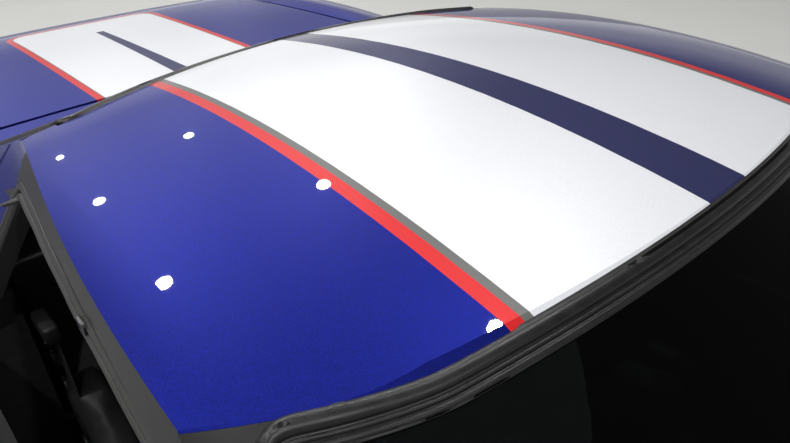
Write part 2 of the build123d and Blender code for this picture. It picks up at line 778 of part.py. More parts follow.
for height in DOOR_HINGE_HEIGHTS:
    for low, high in ((height - 36, height - 20.5), (height + 20.5, height + 36)):
        eye_y = (pin_y - DOOR_EYE_RADIUS, pin_y + DOOR_EYE_RADIUS)
        hinge_lugs.append(block((pin_x, 640), eye_y, (low, high)))
        hinge_lugs.append(tube_z(pin_x, pin_y, DOOR_EYE_RADIUS, low, high))
    hinge_lugs.append(tube_z(pin_x, pin_y, DOOR_PIN_RADIUS, height - 36, height + 36))


def hinge_posts(pin, hinge_y, low_z, reach_x):
    """Two upright posts on each side that hold a bonnet or boot lid pin through its eye."""
    x, z = pin
    posts = []
    for side in (1, -1):
        for start in (hinge_y - 12.5, hinge_y + HINGE_WIDTH + 0.5):
            low, high = sorted((side * start, side * (start + 12)))
            posts.append(block((x - 8, x + 8), (low, high), (low_z, z)))
            posts.append(tube_y(x, z, 10, low, high))
        low, high = sorted((side * (hinge_y - 12.5), side * (hinge_y + HINGE_WIDTH + 12.5)))
        posts.append(tube_y(x, z, LID_PIN_RADIUS, low, high))
        foot_x = sorted((x - 8 if reach_x < x else x + 8, reach_x))
        posts.append(block(foot_x, (low, high), (low_z, low_z + 30)))
        posts.append(block((x - 8, x + 8), (low, high), (low_z, low_z + 30)))
    return posts


left_half = [
    door_pillar, cowl_rest, latch_pillar, nose_plate, tail_plate, *hinge_lugs,
    block((-960, 880), (640, 736.7), (180, 290)),
    block((600, 1636), (350, 450), (180, 290)),
    block((1600, 2030), (350, 450), (260, 340)),
    block((-1756, -760), (350, 450), (200, 300)),
    block((-2060, -1700), (350, 450), (290, 360)),
    block((front_x - 150, front_x + 150), (380, 450), (280, 620)),
    block((rear_x - 150, rear_x + 150), (380, 450), (280, 575)),
    block((1950, 2000), (300, 560), (250, 380)),
    block((-2060, -1960), (350, 700), (340, 440)),
]
floor = cut(
    with_pieces(
        block((-960, 800), (-736.7, 736.7), (165, 180)),
        block((-790, 660), (-150, 150), (165, 420)),
        block((640, 655), (-736.7, 736.7), (165, 780)),
        block((-790, -770), (-736.7, 736.7), (165, 575)),
        block((-1900, -770), (-590, 590), (560, 575)),
        block((-1915, -1900), (-590, 590), (380, 575)),
        block((-1915, -1900), (350, 450), (350, 385)),
        block((-1915, -1900), (-450, -350), (350, 385)),
        block((1990, 2030), (-560, 560), (250, 380)),
        block((-2060, -2030), (-560, 560), (380, 440)),
        block((front_x - 60, front_x + 60), (-360, 360), (180, 225)),
        block((900, 960), (-360, 360), (200, 249.7)),
        block((rear_x - 60, rear_x + 60), (-360, 360), (200, 260)),
    ),
    block((-2000, 1000), (-135, 135), (100, 405)),
)
floor_bridges = with_pieces(block((front_x - 60, front_x + 60), (-140, 140), (180, 225)),
                            block((900, 960), (-140, 140), (200, 249.7)),
                            block((rear_x - 60, rear_x + 60), (-140, 140), (200, 230)))
half = with_pieces(*left_half)
chassis = with_pieces(floor, floor_bridges, half, mirrored(half),
                      *hinge_posts(BONNET_PIN, BONNET_HINGE_Y, 600, 650),
                      *hinge_posts(LID_PIN, LID_HINGE_Y, 560, LID_PIN[0] - 30))
save("chassis", chassis)


# Wheel houses: a half-round shell over each wheel with a flat inner wall
def wheel_house(axle, wall_y):
    """The left wheel house of one axle, with an opening for the suspension arms in its inner wall."""
    _, x, _, z, _, _, _, arch = axle
    return cut(
        common(body_seat, tube_y(x, z, arch + 5, wall_y, 1000)),
        tube_y(x, z, arch + 1, wall_y + 4, 1000),
        block((x - 500, x + 500), (0, 1000), (0, SILL_TOP_Z + 2 * PANEL_GAP)),
        block((x - 180, x + 180), (400, wall_y + 10), (100, 525)),
    )


wheel_house_left = with_pieces(wheel_house(AXLES[0], 450.3), wheel_house(AXLES[1], 595.3))
save("wheel_houses", with_pieces(wheel_house_left, mirrored(wheel_house_left)))


# Wheels, turned about the line of the axle
def turned(x, z, points):
    """A ring turned about the wheel's axle. Each point is a radius and a place out from the car's middle."""
    with BuildPart() as ring:
        with BuildSketch(Plane.XY.offset(z)):
            with BuildLine():
                Polyline(*[(x + radius, y) for radius, y in points], close=True)
            make_face()
        revolve(axis=Axis((x, 0, z), (0, 1, 0)))
    return ring.part


def wheel(axle):
    """The left tyre, rim and brake disc of one axle."""
    name, x, y, tyre_r, tyre_w, rim_r, disc_r, _ = axle
    half_rim = (tyre_w - 49) / 2
    half_tread, half_wall = tyre_w / 2 - 18, tyre_w / 2
    lip = half_rim + 8
    tyre = turned(x, tyre_r, [
        (rim_r + 0.3, y - half_rim + 0.3), (rim_r + 13.5, y - half_rim + 0.3), (rim_r + 30, y - half_wall + 6),
        (rim_r + 58, y - half_wall), (tyre_r - 22, y - half_wall + 3), (tyre_r - 6, y - half_tread),
        (tyre_r, y - half_tread + 14), (tyre_r, y + half_tread - 14), (tyre_r - 6, y + half_tread),
        (tyre_r - 22, y + half_wall - 3), (rim_r + 58, y + half_wall), (rim_r + 30, y + half_wall - 6),
        (rim_r + 13.5, y + half_rim - 0.3), (rim_r + 0.3, y + half_rim - 0.3),
    ])
    barrel = turned(x, tyre_r, [
        (rim_r - 13, y - lip), (rim_r + 13, y - lip), (rim_r + 13, y - half_rim), (rim_r, y - half_rim),
        (rim_r, y + half_rim), (rim_r + 13, y + half_rim), (rim_r + 13, y + lip), (rim_r - 13, y + lip),
    ])
    face = y + 72
    hub = turned(x, tyre_r, [(32.3, y + 56.3), (78, y + 56.3), (72, face + 24), (32.3, face + 28)])
    cap = turned(x, tyre_r, [(0, y + 76), (33, y + 76), (33, face + 25), (20, face + 31), (0, face + 32)])
    spokes = []
    for lean in (-11, 11):
        angle = math.radians(90 + lean)
        tip = (x + (rim_r - 6) * math.cos(angle), tyre_r + (rim_r - 6) * math.sin(angle))
        root_angle = math.radians(90 + 1.5 * lean)
        root_x, root_z = x + 62 * math.cos(root_angle), tyre_r + 62 * math.sin(root_angle)
        outline = [(root_x - 13, root_z), (root_x + 13, root_z), (tip[0] + 10, tip[1]), (tip[0] - 10, tip[1])]
        spokes.append(prism_y(outline, face, face + 26))
    spoke_pair = with_pieces(*spokes)
    axis = Axis((x, 0, tyre_r), (0, 1, 0))
    rim = with_pieces(barrel, hub, cap, *[spoke_pair.rotate(axis, 72 * turn) for turn in range(5)])
    bore = SPINDLE_RADIUS + RUNNING_FIT
    disc = turned(x, tyre_r, [
        (bore, y + 5), (75, y + 5), (75, y + 10), (disc_r, y + 10), (disc_r, y + 42), (75, y + 42), (75, y + 56),
        (32, y + 56), (32, y + 72), (bore, y + 72),
    ])
    return {"tyre": tyre, "rim": rim, "brake_disc": disc}


for axle in AXLES:
    for kind, part in wheel(axle).items():
        save(f"{kind}_{axle[0]}_left", part)
        save(f"{kind}_{axle[0]}_right", mirrored(part))


# Knuckles with their spindles and calipers, and the arms that hold them
def knuckle(axle, front):
    """The left upright of one axle between its arms' eyes, with its spindle, steering arm and brake caliper."""
    _, x, y, z, _, _, disc_r, _ = axle
    side = 1 if front else -1
    low, high = z - ARM_REACH, z + ARM_REACH
    caliper_block = block(sorted((x + side * 85, x + side * 220)), (600, 900), (z - 70, z + 70))
    caliper = cut(
        common(tube_y(x, z, disc_r + 22, y - 15, y + 65), caliper_block),
        tube_y(x, z, disc_r + 6, y + 5, y + 47),
    )
    solids = [
        block((x - 20, x + 20), (KINGPIN_Y - 18, KINGPIN_Y + 18), (low + 12.3, high - 12.3)),
        tube_z(x, KINGPIN_Y, 10, low - 12, high + 12),
        tube_y(x, z, 45, KINGPIN_Y, y - 5),
        tube_y(x, z, SPINDLE_RADIUS, KINGPIN_Y, y + 70),
        block(sorted((x, x + side * 150)), (y - 15, y - 1), (z - 25, z + 25)),
        block((x - 20, x + 20), (KINGPIN_Y, y - 1), (z - 25, z + 25)),
        caliper,
    ]
    if front:
        solids.append(block((x - 110, x), (KINGPIN_Y - 12, KINGPIN_Y + 12), (z - 75, z - 55)))
    return with_pieces(*solids)


def arms(axle):
    """The left lower and upper suspension arms of one axle and its spring strut's plain tube."""
    _, x, _, z, _, _, _, _ = axle
    outline = [
        (x - 22, KINGPIN_Y), (x + 22, KINGPIN_Y), (x + 22, 570), (x + 148, 490), (x + 148, 450.3),
        (x + 112, 450.3), (x + 112, 472), (x, 545), (x - 112, 472), (x - 112, 450.3), (x - 148, 450.3),
        (x - 148, 490), (x - 22, 570),
    ]
    solids = []
    for middle in (z - ARM_REACH, z + ARM_REACH):
        low, high = middle - 12, middle + 12
        eye = tube_z(x, KINGPIN_Y, 22, low, high)
        pin_hole = tube_z(x, KINGPIN_Y, 10 + RUNNING_FIT, 0, 1000)
        solids.append(cut(with_pieces(prism_z(outline, low, high), eye), pin_hole))
    return with_pieces(*solids)


front_knuckle, rear_knuckle = knuckle(AXLES[0], True), knuckle(AXLES[1], False)
save("knuckle_front_left", front_knuckle)
save("knuckle_front_right", mirrored(front_knuckle))
save("rear_knuckles", with_pieces(rear_knuckle, mirrored(rear_knuckle)))
front_arms, rear_arms = arms(AXLES[0]), arms(AXLES[1])
save("front_suspension", with_pieces(front_arms, mirrored(front_arms)))
save("rear_suspension", with_pieces(rear_arms, mirrored(rear_arms)))

# Power unit and exhaust
engine = with_pieces(
    block((760, 1190), (-200, 200), (250, 560)),
    prism_y([(770, 540), (1180, 540), (1180, 690), (770, 690)], 70, 290),
    prism_y([(770, 540), (1180, 540), (1180, 690), (770, 690)], -290, -70),
    block((800, 1150), (-120, 120), (540, 730)),
)
save("engine_block", engine)
exhaust = with_pieces(
    tube_x(0, 300, 35, -1900, 600),
    block((-2020, -1860), (-300, 300), (278, 370)),
    *[tube_x(y, 295, 36, -2235, -2010) for y in (-125, -45, 45, 125)],
    block((rear_x - 20, rear_x + 20), (-15, 15), (230 + SEAT_GAP, 270)),
    block((-1914, -1901), (180, 220), (365, 380 - SEAT_GAP)),
    block((-1914, -1901), (-220, -180), (365, 380 - SEAT_GAP)),
)
save("exhaust", exhaust)

# Cabin: instrument panel, steering wheel, console and two seats
WHEEL_HUB = (250.0, 370.0, 770.0)
COLUMN_LEAN = 24.0
DASH_FRONT_X = 635 - SEAT_GAP
dash_profile = [
    (DASH_FRONT_X, 560), (DASH_FRONT_X, 770), (560, 800), (470, 842),
    (430, 846), (370, 810), (385, 650), (450, 560),
]
dash_ends = [(DASH_FRONT_X, 560), (DASH_FRONT_X, 770), (440, 785), (370, 785), (385, 650), (450, 560)]
lean = math.radians(COLUMN_LEAN)
column_axis = Plane(origin=WHEEL_HUB, z_dir=(math.cos(lean), 0, -math.sin(lean)))
wheel_plane = Plane(origin=WHEEL_HUB, x_dir=(0, 1, 0), z_dir=(math.sin(lean), 0, math.cos(lean)))


def along_column(radius, start, end):
    """A solid cylinder about the steering column, from start to end ahead of the wheel's hub."""
    with BuildPart() as tube:
        with BuildSketch(column_axis.offset(start)):
            Circle(radius)
        extrude(amount=end - start)
    return tube.part


with BuildPart() as wheel_rim:
    with BuildSketch(wheel_plane):
        with Locations((180, 0)):
            Circle(15)
    revolve(axis=Axis(WHEEL_HUB, column_axis.z_dir))
with BuildPart() as wheel_spokes:
    with BuildSketch(column_axis.offset(-6)):
        for turn in (0, 120, 240):
            with Locations(Rotation(0, 0, turn)):
                with Locations((90, 0)):
                    Rectangle(180, 32)
        Circle(52)
    extrude(amount=14)
steering_wheel = with_pieces(wheel_rim.part, wheel_spokes.part, along_column(20, 0, 190))
save("steering_wheel", steering_wheel)
dashboard = cut(
    with_pieces(prism_y(dash_profile, -610, 610), prism_y(dash_ends, -700, 700), along_column(38, 75, 250)),
    along_column(20 + RUNNING_FIT, 0, 194),
    block((DASH_FRONT_X, 900), (-900, 900), (0, 1000)),
)
save("dashboard", dashboard)
console = with_pieces(
    block((-540, 380), (-120, 120), (420.3, 500)),
    prism_y([(380, 420.3), (380, 650), (300, 560), (250, 420.3)], -120, 120),
    tube_z(120, 0, 9, 500, 580),
    tube_z(120, 0, 22, 575, 612),
)
save("console", console)


def seat(middle_y):
    """One seat: a runner base, a cushion with bolsters, and a leaning back with bolsters and a head rest."""
    low, high = middle_y - 232, middle_y + 232
    cushion_side = [(-40, 260), (-40, 340), (-90, 375), (-520, 345), (-560, 300), (-560, 220), (-100, 220)]
    back_side = [(-500, 330), (-655, 720), (-665, 760), (-750, 755), (-745, 700), (-610, 260), (-520, 230)]
    head_side = [(-660, 760), (-690, 890), (-710, 910), (-775, 905), (-780, 880), (-750, 755)]
    low_bolster = [(-60, 240), (-60, 380), (-110, 410), (-520, 400), (-560, 300), (-560, 220)]
    high_bolster = [(-470, 360), (-560, 640), (-650, 735), (-735, 735), (-745, 690), (-610, 260), (-540, 220)]
    cushion = prism_y(cushion_side, low + 60, high - 60)
    back = prism_y(back_side, low + 60, high - 60)
    head = prism_y(head_side, middle_y - 130, middle_y + 130)
    bolsters = []
    for start, end in ((low, low + 70), (high - 70, high)):
        bolsters.append(prism_y(low_bolster, start, end))
        bolsters.append(prism_y(high_bolster, start, end))
    base = block((-500, -120), (middle_y - 180, middle_y + 180), (180.3, 225))
    return with_pieces(cushion, back, head, base, *bolsters)


save("seat_left", seat(400))
save("seat_right", seat(-400))

# Door mirrors, each a stalk and a rounded housing
def mirror_part():
    """The left door mirror: a stalk out of the door's shoulder and a rounded housing with a flat rear face."""
    with BuildPart() as housing:
        with BuildSketch(Plane.YZ.offset(330)):
            with Locations((968, 935)):
                RectangleRounded(150, 105, 40)
        with BuildSketch(Plane.YZ.offset(430)):
            with Locations((960, 930)):
                RectangleRounded(100, 62, 28)
        loft()
    stalk = prism_z([(345, 862), (415, 862), (405, 935), (355, 935)], 890, 915)
    foot = block((345, 415), (800, 866), (800, 915))
    return cut(with_pieces(housing.part, stalk, foot), raised_body)


mirror_left = mirror_part()
save("mirror_left", mirror_left)
save("mirror_right", mirrored(mirror_left))
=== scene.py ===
import math
import json
import bpy
from mathutils import Matrix, Vector

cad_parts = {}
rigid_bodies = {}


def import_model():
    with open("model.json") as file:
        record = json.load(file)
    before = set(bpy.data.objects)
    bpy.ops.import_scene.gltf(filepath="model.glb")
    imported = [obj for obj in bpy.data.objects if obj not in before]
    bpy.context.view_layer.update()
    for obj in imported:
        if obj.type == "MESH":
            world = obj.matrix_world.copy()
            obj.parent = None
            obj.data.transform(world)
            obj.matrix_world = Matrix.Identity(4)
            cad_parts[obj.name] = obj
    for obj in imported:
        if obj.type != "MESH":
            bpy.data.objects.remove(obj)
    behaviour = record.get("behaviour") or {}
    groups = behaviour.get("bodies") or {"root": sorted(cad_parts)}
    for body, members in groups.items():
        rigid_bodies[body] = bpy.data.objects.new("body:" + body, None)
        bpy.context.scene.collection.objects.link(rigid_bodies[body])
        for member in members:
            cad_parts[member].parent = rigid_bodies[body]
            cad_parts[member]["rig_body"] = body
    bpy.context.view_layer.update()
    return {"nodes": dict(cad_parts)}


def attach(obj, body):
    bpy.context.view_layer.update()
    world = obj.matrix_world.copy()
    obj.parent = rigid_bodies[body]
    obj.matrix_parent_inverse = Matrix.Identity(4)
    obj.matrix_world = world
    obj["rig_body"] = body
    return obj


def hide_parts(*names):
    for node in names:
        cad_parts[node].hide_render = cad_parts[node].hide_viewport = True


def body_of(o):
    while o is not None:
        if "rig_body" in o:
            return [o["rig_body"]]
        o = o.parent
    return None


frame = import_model()
nodes = frame["nodes"]
bpy.ops.object.select_all(action="DESELECT")


# Chassis and wheel houses
# The frame, floor and inner plates are pressed and welded steel under black wax and stone-chip coating.
# Everything else bolts to it, so its finish is dull, a little uneven and never shiny.
class Wire:
    """A shader socket: an expression on wires adds the Math nodes that it needs."""

    def __init__(self, finish, socket):
        self.finish = finish
        self.socket = socket

    def math(self, operation, *values):
        sockets = dict(enumerate((self,) + values))
        return self.finish.node("ShaderNodeMath", {"operation": operation}, sockets, "Value")

    def __add__(self, other):
        return self.math("ADD", other)

    def __sub__(self, other):
        return self.math("SUBTRACT", other)

    def __rsub__(self, other):
        return (self * -1.0).math("ADD", other)

    def __mul__(self, other):
        return self.math("MULTIPLY", other)

    def __abs__(self):
        return self.math("ABSOLUTE")

    def __lt__(self, other):
        return self.math("LESS_THAN", other)

    def __gt__(self, other):
        return self.math("GREATER_THAN", other)

    def most(self, other):
        return self.math("MAXIMUM", other)

    __radd__ = __add__
    __rmul__ = __mul__

    def wave(self, pitch):
        """A ripple between 0 and 1 that repeats at each pitch."""
        return (self * (2.0 * math.pi / pitch)).math("SINE") * 0.5 + 0.5


class Finish:
    """A material in the making: its nodes come from one method, and its surface is one Principled shader."""

    def __init__(self, name, **surface):
        self.material = bpy.data.materials.new(name)
        self.material.use_nodes = True
        self.tree = self.material.node_tree
        self.shader = self.tree.nodes["Principled BSDF"]
        self.set(**surface)

    def plug(self, value, socket):
        """Links a wire to the socket, or sets a plain value on it."""
        if isinstance(value, Wire):
            self.tree.links.new(value.socket, socket)
        elif isinstance(value, tuple) and len(value) == 3 and socket.type == "RGBA":
            socket.default_value = (*value, 1.0)
        else:
            socket.default_value = value

    def node(self, kind, settings, sockets, output):
        """Adds a node with its settings, then its sockets' values or links, and returns one output."""
        made = self.tree.nodes.new(kind)
        for name, value in settings.items():
            setattr(made, name, value)
        for name, value in sockets.items():
            self.plug(value, made.inputs[name])
        return Wire(self, made.outputs[output])

    def set(self, **surface):
        """Sets the Principled shader's sockets, named with underscores for spaces."""
        for name, value in surface.items():
            self.plug(value, self.shader.inputs[name.replace("_", " ")])
        return self.material

    def place(self):
        """The three coordinates of the point on the piece, in metres."""
        object_place = self.node("ShaderNodeTexCoord", {}, {}, "Object")
        split = self.node("ShaderNodeSeparateXYZ", {}, {"Vector": object_place}, "X")
        return [Wire(self, output) for output in split.socket.node.outputs]

    def noise(self, scale, detail=2.0):
        """Fine irregular variation over the piece, from 0 to 1."""
        object_place = self.node("ShaderNodeTexCoord", {}, {}, "Object")
        sockets = {"Vector": object_place, "Scale": scale, "Detail": detail}
        return self.node("ShaderNodeTexNoise", {}, sockets, "Fac")

    def cells(self, scale, output="Distance"):
        """Distance to the nearest of many scattered points, as in leather grain or spread specks."""
        object_place = self.node("ShaderNodeTexCoord", {}, {}, "Object")
        return self.node("ShaderNodeTexVoronoi", {}, {"Vector": object_place, "Scale": scale}, output)

    def blend(self, factor, first, second):
        """The first colour where the factor is 0 and the second where it is 1."""
        return self.node("ShaderNodeMix", {"data_type": "RGBA"}, {0: factor, 6: first, 7: second}, 2)

    def bump(self, height, strength=0.5, distance=0.001):
        """A normal that follows small relief."""
        sockets = {"Height": height, "Strength": strength, "Distance": distance}
        return self.node("ShaderNodeBump", {}, sockets, "Normal")


def plain_finish(name, dark, light, scale, relief, rough, strength=0.6, detail=4.0, fine=0.0, **surface):
    """A finish whose colour and gloss wander between two values in noise, or in cells where the detail is 0.

    Its small relief has the same scale, or is finer.
    """
    made = Finish(name, **surface)
    patch = made.noise(scale, detail) if detail else made.cells(scale)
    grain = made.noise(fine) if fine else patch
    return made.set(
        Base_Color=made.blend(patch, dark, light), Roughness=patch * (rough[1] - rough[0]) + rough[0],
        Normal=made.bump(grain, strength, relief)
    )


def dress(names, *finishes):
    """Gives CAD nodes their finishes, the first one on every face."""
    for name in names:
        nodes[name].data.materials.clear()
        for finish in finishes:
            nodes[name].data.materials.append(finish)


underbody_black = plain_finish(
    "underbody black", (0.012, 0.012, 0.012), (0.030, 0.029, 0.028), 90.0, 0.0008, (0.55, 0.8)
)
dress(["chassis", "wheel_houses"], underbody_black)


def deselect():
    """Leaves nothing selected, so that a new piece stands by itself."""
    bpy.ops.object.select_all(action="DESELECT")


def edited(**steps):
    """Runs mesh operators, each named with its settings, on the whole of the active piece."""
    bpy.ops.object.mode_set(mode="EDIT")
    for step, settings in steps.items():
        bpy.ops.mesh.select_all(action="SELECT")
        getattr(bpy.ops.mesh, step)(**settings)
    bpy.ops.object.mode_set(mode="OBJECT")


def shaped(made, kind, **settings):
    """Gives the active piece a modifier with its settings and applies it."""
    modifier = made.modifiers.new(kind.lower(), kind)
    for name, value in settings.items():
        setattr(modifier, name, value)
    bpy.ops.object.modifier_apply(modifier=modifier.name)


def settled(name, finish, body="chassis", smooth=40.0, parts=()):
    """Joins the parts, if any, and gives the active piece its name, place, finish and body."""
    if parts:
        deselect()
        for part in parts:
            part.select_set(True)
        bpy.context.view_layer.objects.active = parts[0]
        bpy.ops.object.join()
    made = bpy.context.object
    bpy.ops.object.transform_apply()
    made.name = name
    made.data.name = name
    made.data.materials.clear()
    made.data.materials.append(finish)
    bpy.ops.object.shade_smooth_by_angle(angle=math.radians(smooth))
    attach(made, body)
    return made


def add_block(corner, opposite, edge=0.002, rings=2):
    """A block between two opposite corners with rounded edges, left active."""
    deselect()
    middle = [(a + b) / 2 for a, b in zip(corner, opposite)]
    bpy.ops.mesh.primitive_cube_add(size=1.0, location=middle)
    made = bpy.context.object
    made.scale = [abs(b - a) for a, b in zip(corner, opposite)]
    bpy.ops.object.transform_apply()
    edited(bevel={"offset": edge, "segments": rings})
    return made


floor_ribs = []
for side in (1, -1):
    for y in (0.20, 0.28, 0.36, 0.44, 0.52, 0.60):
        floor_ribs.append(add_block((-0.90, side * (y - 0.012), 0.162), (0.56, side * (y + 0.012), 0.167)))
settled("floor_swages", underbody_black, parts=floor_ribs)


# Suspension arms, coil springs and dampers
# Each wheel hangs on two forged arms in satin black, sprung by a coil over a tube damper. The damper stands
# in the open triangle of the arms, with its foot on the lower arm and its head in a bracket on the frame.
forged_black = plain_finish(
    "forged arm black", (0.03, 0.03, 0.03), (0.06, 0.058, 0.055), 140.0, 0.0004, (0.4, 0.6)
)
spring_steel = plain_finish(
    "painted spring", (0.02, 0.02, 0.024), (0.04, 0.04, 0.045), 60.0, 0.0002, (0.3, 0.45)
)
damper_zinc = plain_finish(
    "zinc plated damper", (0.42, 0.42, 0.40), (0.56, 0.55, 0.50), 70.0, 0.0001, (0.28, 0.42), Metallic=1.0
)
dress(["front_suspension", "rear_suspension"], forged_black)
WHEEL_TABLE = [
    # name, axle x, wheel centre y, axle z, tyre width, rim radius
    ("front", 1.282, 0.780, 0.322, 0.265, 0.216),
    ("rear", -1.372, 0.772, 0.332, 0.295, 0.229),
]
ARM_REACH = 0.137
SIDES = ((1, "left"), (-1, "right"))


def add_bar(start, end, radius, sides=24, edge=0.0, end_radius=None):
    """A round bar between two points with its end edges rounded, left active."""
    start, end = Vector(start), Vector(end)
    deselect()
    lie = {
        "vertices": sides, "depth": (end - start).length, "location": (start + end) / 2,
        "rotation": (end - start).to_track_quat("Z", "Y").to_euler(),
    }
    if end_radius is None:
        bpy.ops.mesh.primitive_cylinder_add(radius=radius, **lie)
    else:
        bpy.ops.mesh.primitive_cone_add(radius1=radius, radius2=end_radius, **lie)
    made = bpy.context.object
    bpy.ops.object.transform_apply()
    if edge:
        bpy.ops.object.mode_set(mode="EDIT")
        bpy.ops.mesh.select_all(action="DESELECT")
        bpy.ops.mesh.select_mode(type="EDGE")
        bpy.ops.mesh.edges_select_sharp(sharpness=math.radians(50))
        bpy.ops.mesh.bevel(offset=edge, segments=2)
        bpy.ops.mesh.select_mode(type="VERT")
        bpy.ops.object.mode_set(mode="OBJECT")
    return made


def add_spring(foot, head, radius, wire, turns):
    """A coil spring between two points, left active."""
    foot, head = Vector(foot), Vector(head)
    deselect()
    bpy.ops.mesh.primitive_circle_add(
        vertices=8, radius=wire, fill_type="NGON", location=(radius, 0, 0), rotation=(math.pi / 2, 0, 0)
    )
    made = bpy.context.object
    bpy.ops.object.transform_apply()
    pitch = (head - foot).length / turns
    shaped(made, "SCREW", steps=20, render_steps=20, iterations=turns, screw_offset=pitch)
    edited(normals_make_consistent={"inside": False})
    made.rotation_euler = (head - foot).to_track_quat("Z", "Y").to_euler()
    made.location = foot
    bpy.ops.object.transform_apply()
    return made


for axle, x, _, z, _, _ in WHEEL_TABLE:
    for side, hand in SIDES:
        foot = Vector((x, side * 0.562, z - ARM_REACH + 0.0123))
        head = Vector((x, side * 0.487, z + 0.232))
        along = (head - foot).normalized()
        add_spring(foot + along * 0.075, head - along * 0.014, 0.0215, 0.0042, 9)
        settled(f"coil_spring_{axle}_{hand}", spring_steel, smooth=60)
        damper = [
            add_bar(foot, foot + along * 0.016, 0.020, 24, 0.002),
            add_bar(foot + along * 0.012, foot + along * 0.20, 0.015, 24, 0.001),
            add_bar(foot + along * 0.19, head, 0.0065, 16),
            add_bar(foot + along * 0.068, foot + along * 0.075, 0.0265, 24, 0.001),
            add_bar(head - along * 0.014, head, 0.0265, 24, 0.002),
        ]
        settled(f"damper_{axle}_{hand}", damper_zinc, parts=damper)
        add_block(
            (x - 0.035, side * 0.4503, head.z - 0.004), (x + 0.035, side * 0.520, head.z + 0.010), 0.003
        )
        settled(f"damper_bracket_{axle}_{hand}", underbody_black)


# Knuckles, brake discs and calipers
# The knuckles and their calipers are cast aluminium, machined at the bearings. The discs are grey iron,
# ground bright in fine rings where the pads sweep and browned inside them.
cast_alloy = plain_finish(
    "cast alloy", (0.34, 0.34, 0.34), (0.46, 0.46, 0.46), 160.0, 0.0006, (0.42, 0.6), Metallic=0.9
)
dress(["rear_knuckles", "knuckle_front_left", "knuckle_front_right"], cast_alloy)
for axle, x, _, z, _, _ in WHEEL_TABLE:
    iron = Finish(f"ground iron {axle}", Metallic=1.0)
    place_x, _, place_z = iron.place()
    from_axle_x = place_x - x
    from_axle_z = place_z - z
    radius = (from_axle_x * from_axle_x + from_axle_z * from_axle_z).math("SQRT")
    rings = radius.wave(0.0011) * 0.5 + iron.noise(260.0) * 0.5
    swept = radius > 0.086
    iron = iron.set(
        Base_Color=iron.blend(swept, (0.20, 0.16, 0.13), (0.44, 0.43, 0.42)),
        Roughness=0.52 - swept * 0.22 + rings * 0.06, Normal=iron.bump(rings, 0.25, 0.0002)
    )
    dress([f"brake_disc_{axle}_left", f"brake_disc_{axle}_right"], iron)


# Rims
# Five twin-spoke rims are cast in aluminium, machined and lacquered silver. Each is held by five chromed nuts
# round a plain centre cap and has a short rubber valve in its barrel.
rim_silver = Finish("silver rim lacquer", Metallic=1.0, Coat_Weight=0.6, Coat_Roughness=0.05)
grain = rim_silver.noise(900.0, 1.0)
rim_silver = rim_silver.set(
    Base_Color=rim_silver.blend(grain, (0.50, 0.51, 0.53), (0.68, 0.69, 0.71)), Roughness=grain * 0.1 + 0.24
)
chrome = Finish("chromed nut", Base_Color=(0.72, 0.72, 0.73), Metallic=1.0, Roughness=0.09).material
black_rubber = plain_finish(
    "black rubber", (0.006, 0.006, 0.007), (0.020, 0.019, 0.018), 70.0, 0.0003, (0.28, 0.48), 0.25, fine=900.0
)
MERGE_REACH = 0.00002
NUT_CIRCLE = 0.050
NUT_REACHES = (0.094, 0.112, 0.115)
VALVE_ANGLE = 126


def body_named(node):
    """The name of the CAD body that a node rides on."""
    return body_of(nodes[node])[0]


def on_circle(middle, radius, degrees, y):
    """A point at an angle on an upright circle round a middle in x and z."""
    angle = math.radians(degrees)
    return (middle[0] + radius * math.cos(angle), y, middle[1] + radius * math.sin(angle))


def copy_of(mesh, name):
    """A new piece with a copy of a mesh, left active."""
    deselect()
    made = bpy.data.objects.new(name, mesh.copy())
    bpy.context.scene.collection.objects.link(made)
    made.select_set(True)
    bpy.context.view_layer.objects.active = made
    return made


def rounded_copy(node, name, finish, edge):
    """A copy that stands for a CAD node, its triangles merged into flats and its sharp edges rounded."""
    made = copy_of(nodes[node].data, name)
    edited(remove_doubles={"threshold": MERGE_REACH}, dissolve_limited={"angle_limit": math.radians(0.6)})
    shaped(made, "BEVEL", width=edge, segments=2, limit_method="ANGLE", angle_limit=math.radians(38))
    settled(name, finish, body_named(node), 35.0)
    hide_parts(node)


for axle, x, wheel_y, z, _, rim_radius in WHEEL_TABLE:
    for side, hand in SIDES:
        rim_node = f"rim_{axle}_{hand}"
        rounded_copy(rim_node, f"cast_{rim_node}", rim_silver, 0.0022)
        body = body_named(rim_node)
        nuts = []
        for turn in range(5):
            reaches = [side * (wheel_y + reach) for reach in NUT_REACHES]
            foot, head, tip = [on_circle((x, z), NUT_CIRCLE, 72 * turn + 54, reach) for reach in reaches]
            nuts.append(add_bar(foot, head, 0.0105, 6, 0.0012))
            nuts.append(add_bar(head, tip, 0.0072, 16, 0.001))
        settled(f"wheel_nuts_{axle}_{hand}", chrome, body, parts=nuts)
        valve_foot = on_circle((x, z), rim_radius - 0.0135, VALVE_ANGLE, side * (wheel_y + 0.070))
        valve_head = on_circle((x, z), rim_radius - 0.044, VALVE_ANGLE, side * (wheel_y + 0.078))
        add_bar(valve_foot, valve_head, 0.0045, 16, 0.001, end_radius=0.0034)
        settled(f"valve_{axle}_{hand}", black_rubber, body)


# Tyres
# Wide radial tyres, moulded in black rubber with four main grooves and short cross grooves that part the
# tread into blocks. The side walls are bare of lettering and carry plain moulded rings.
tyre_rubber = plain_finish(
    "tyre rubber", (0.016, 0.016, 0.017), (0.042, 0.041, 0.040), 40.0, 0.0004, (0.62, 0.77), 0.3, 5.0, 1400.0
)
TREAD_STEPS = 240
GROOVE_DEPTH = 0.0065


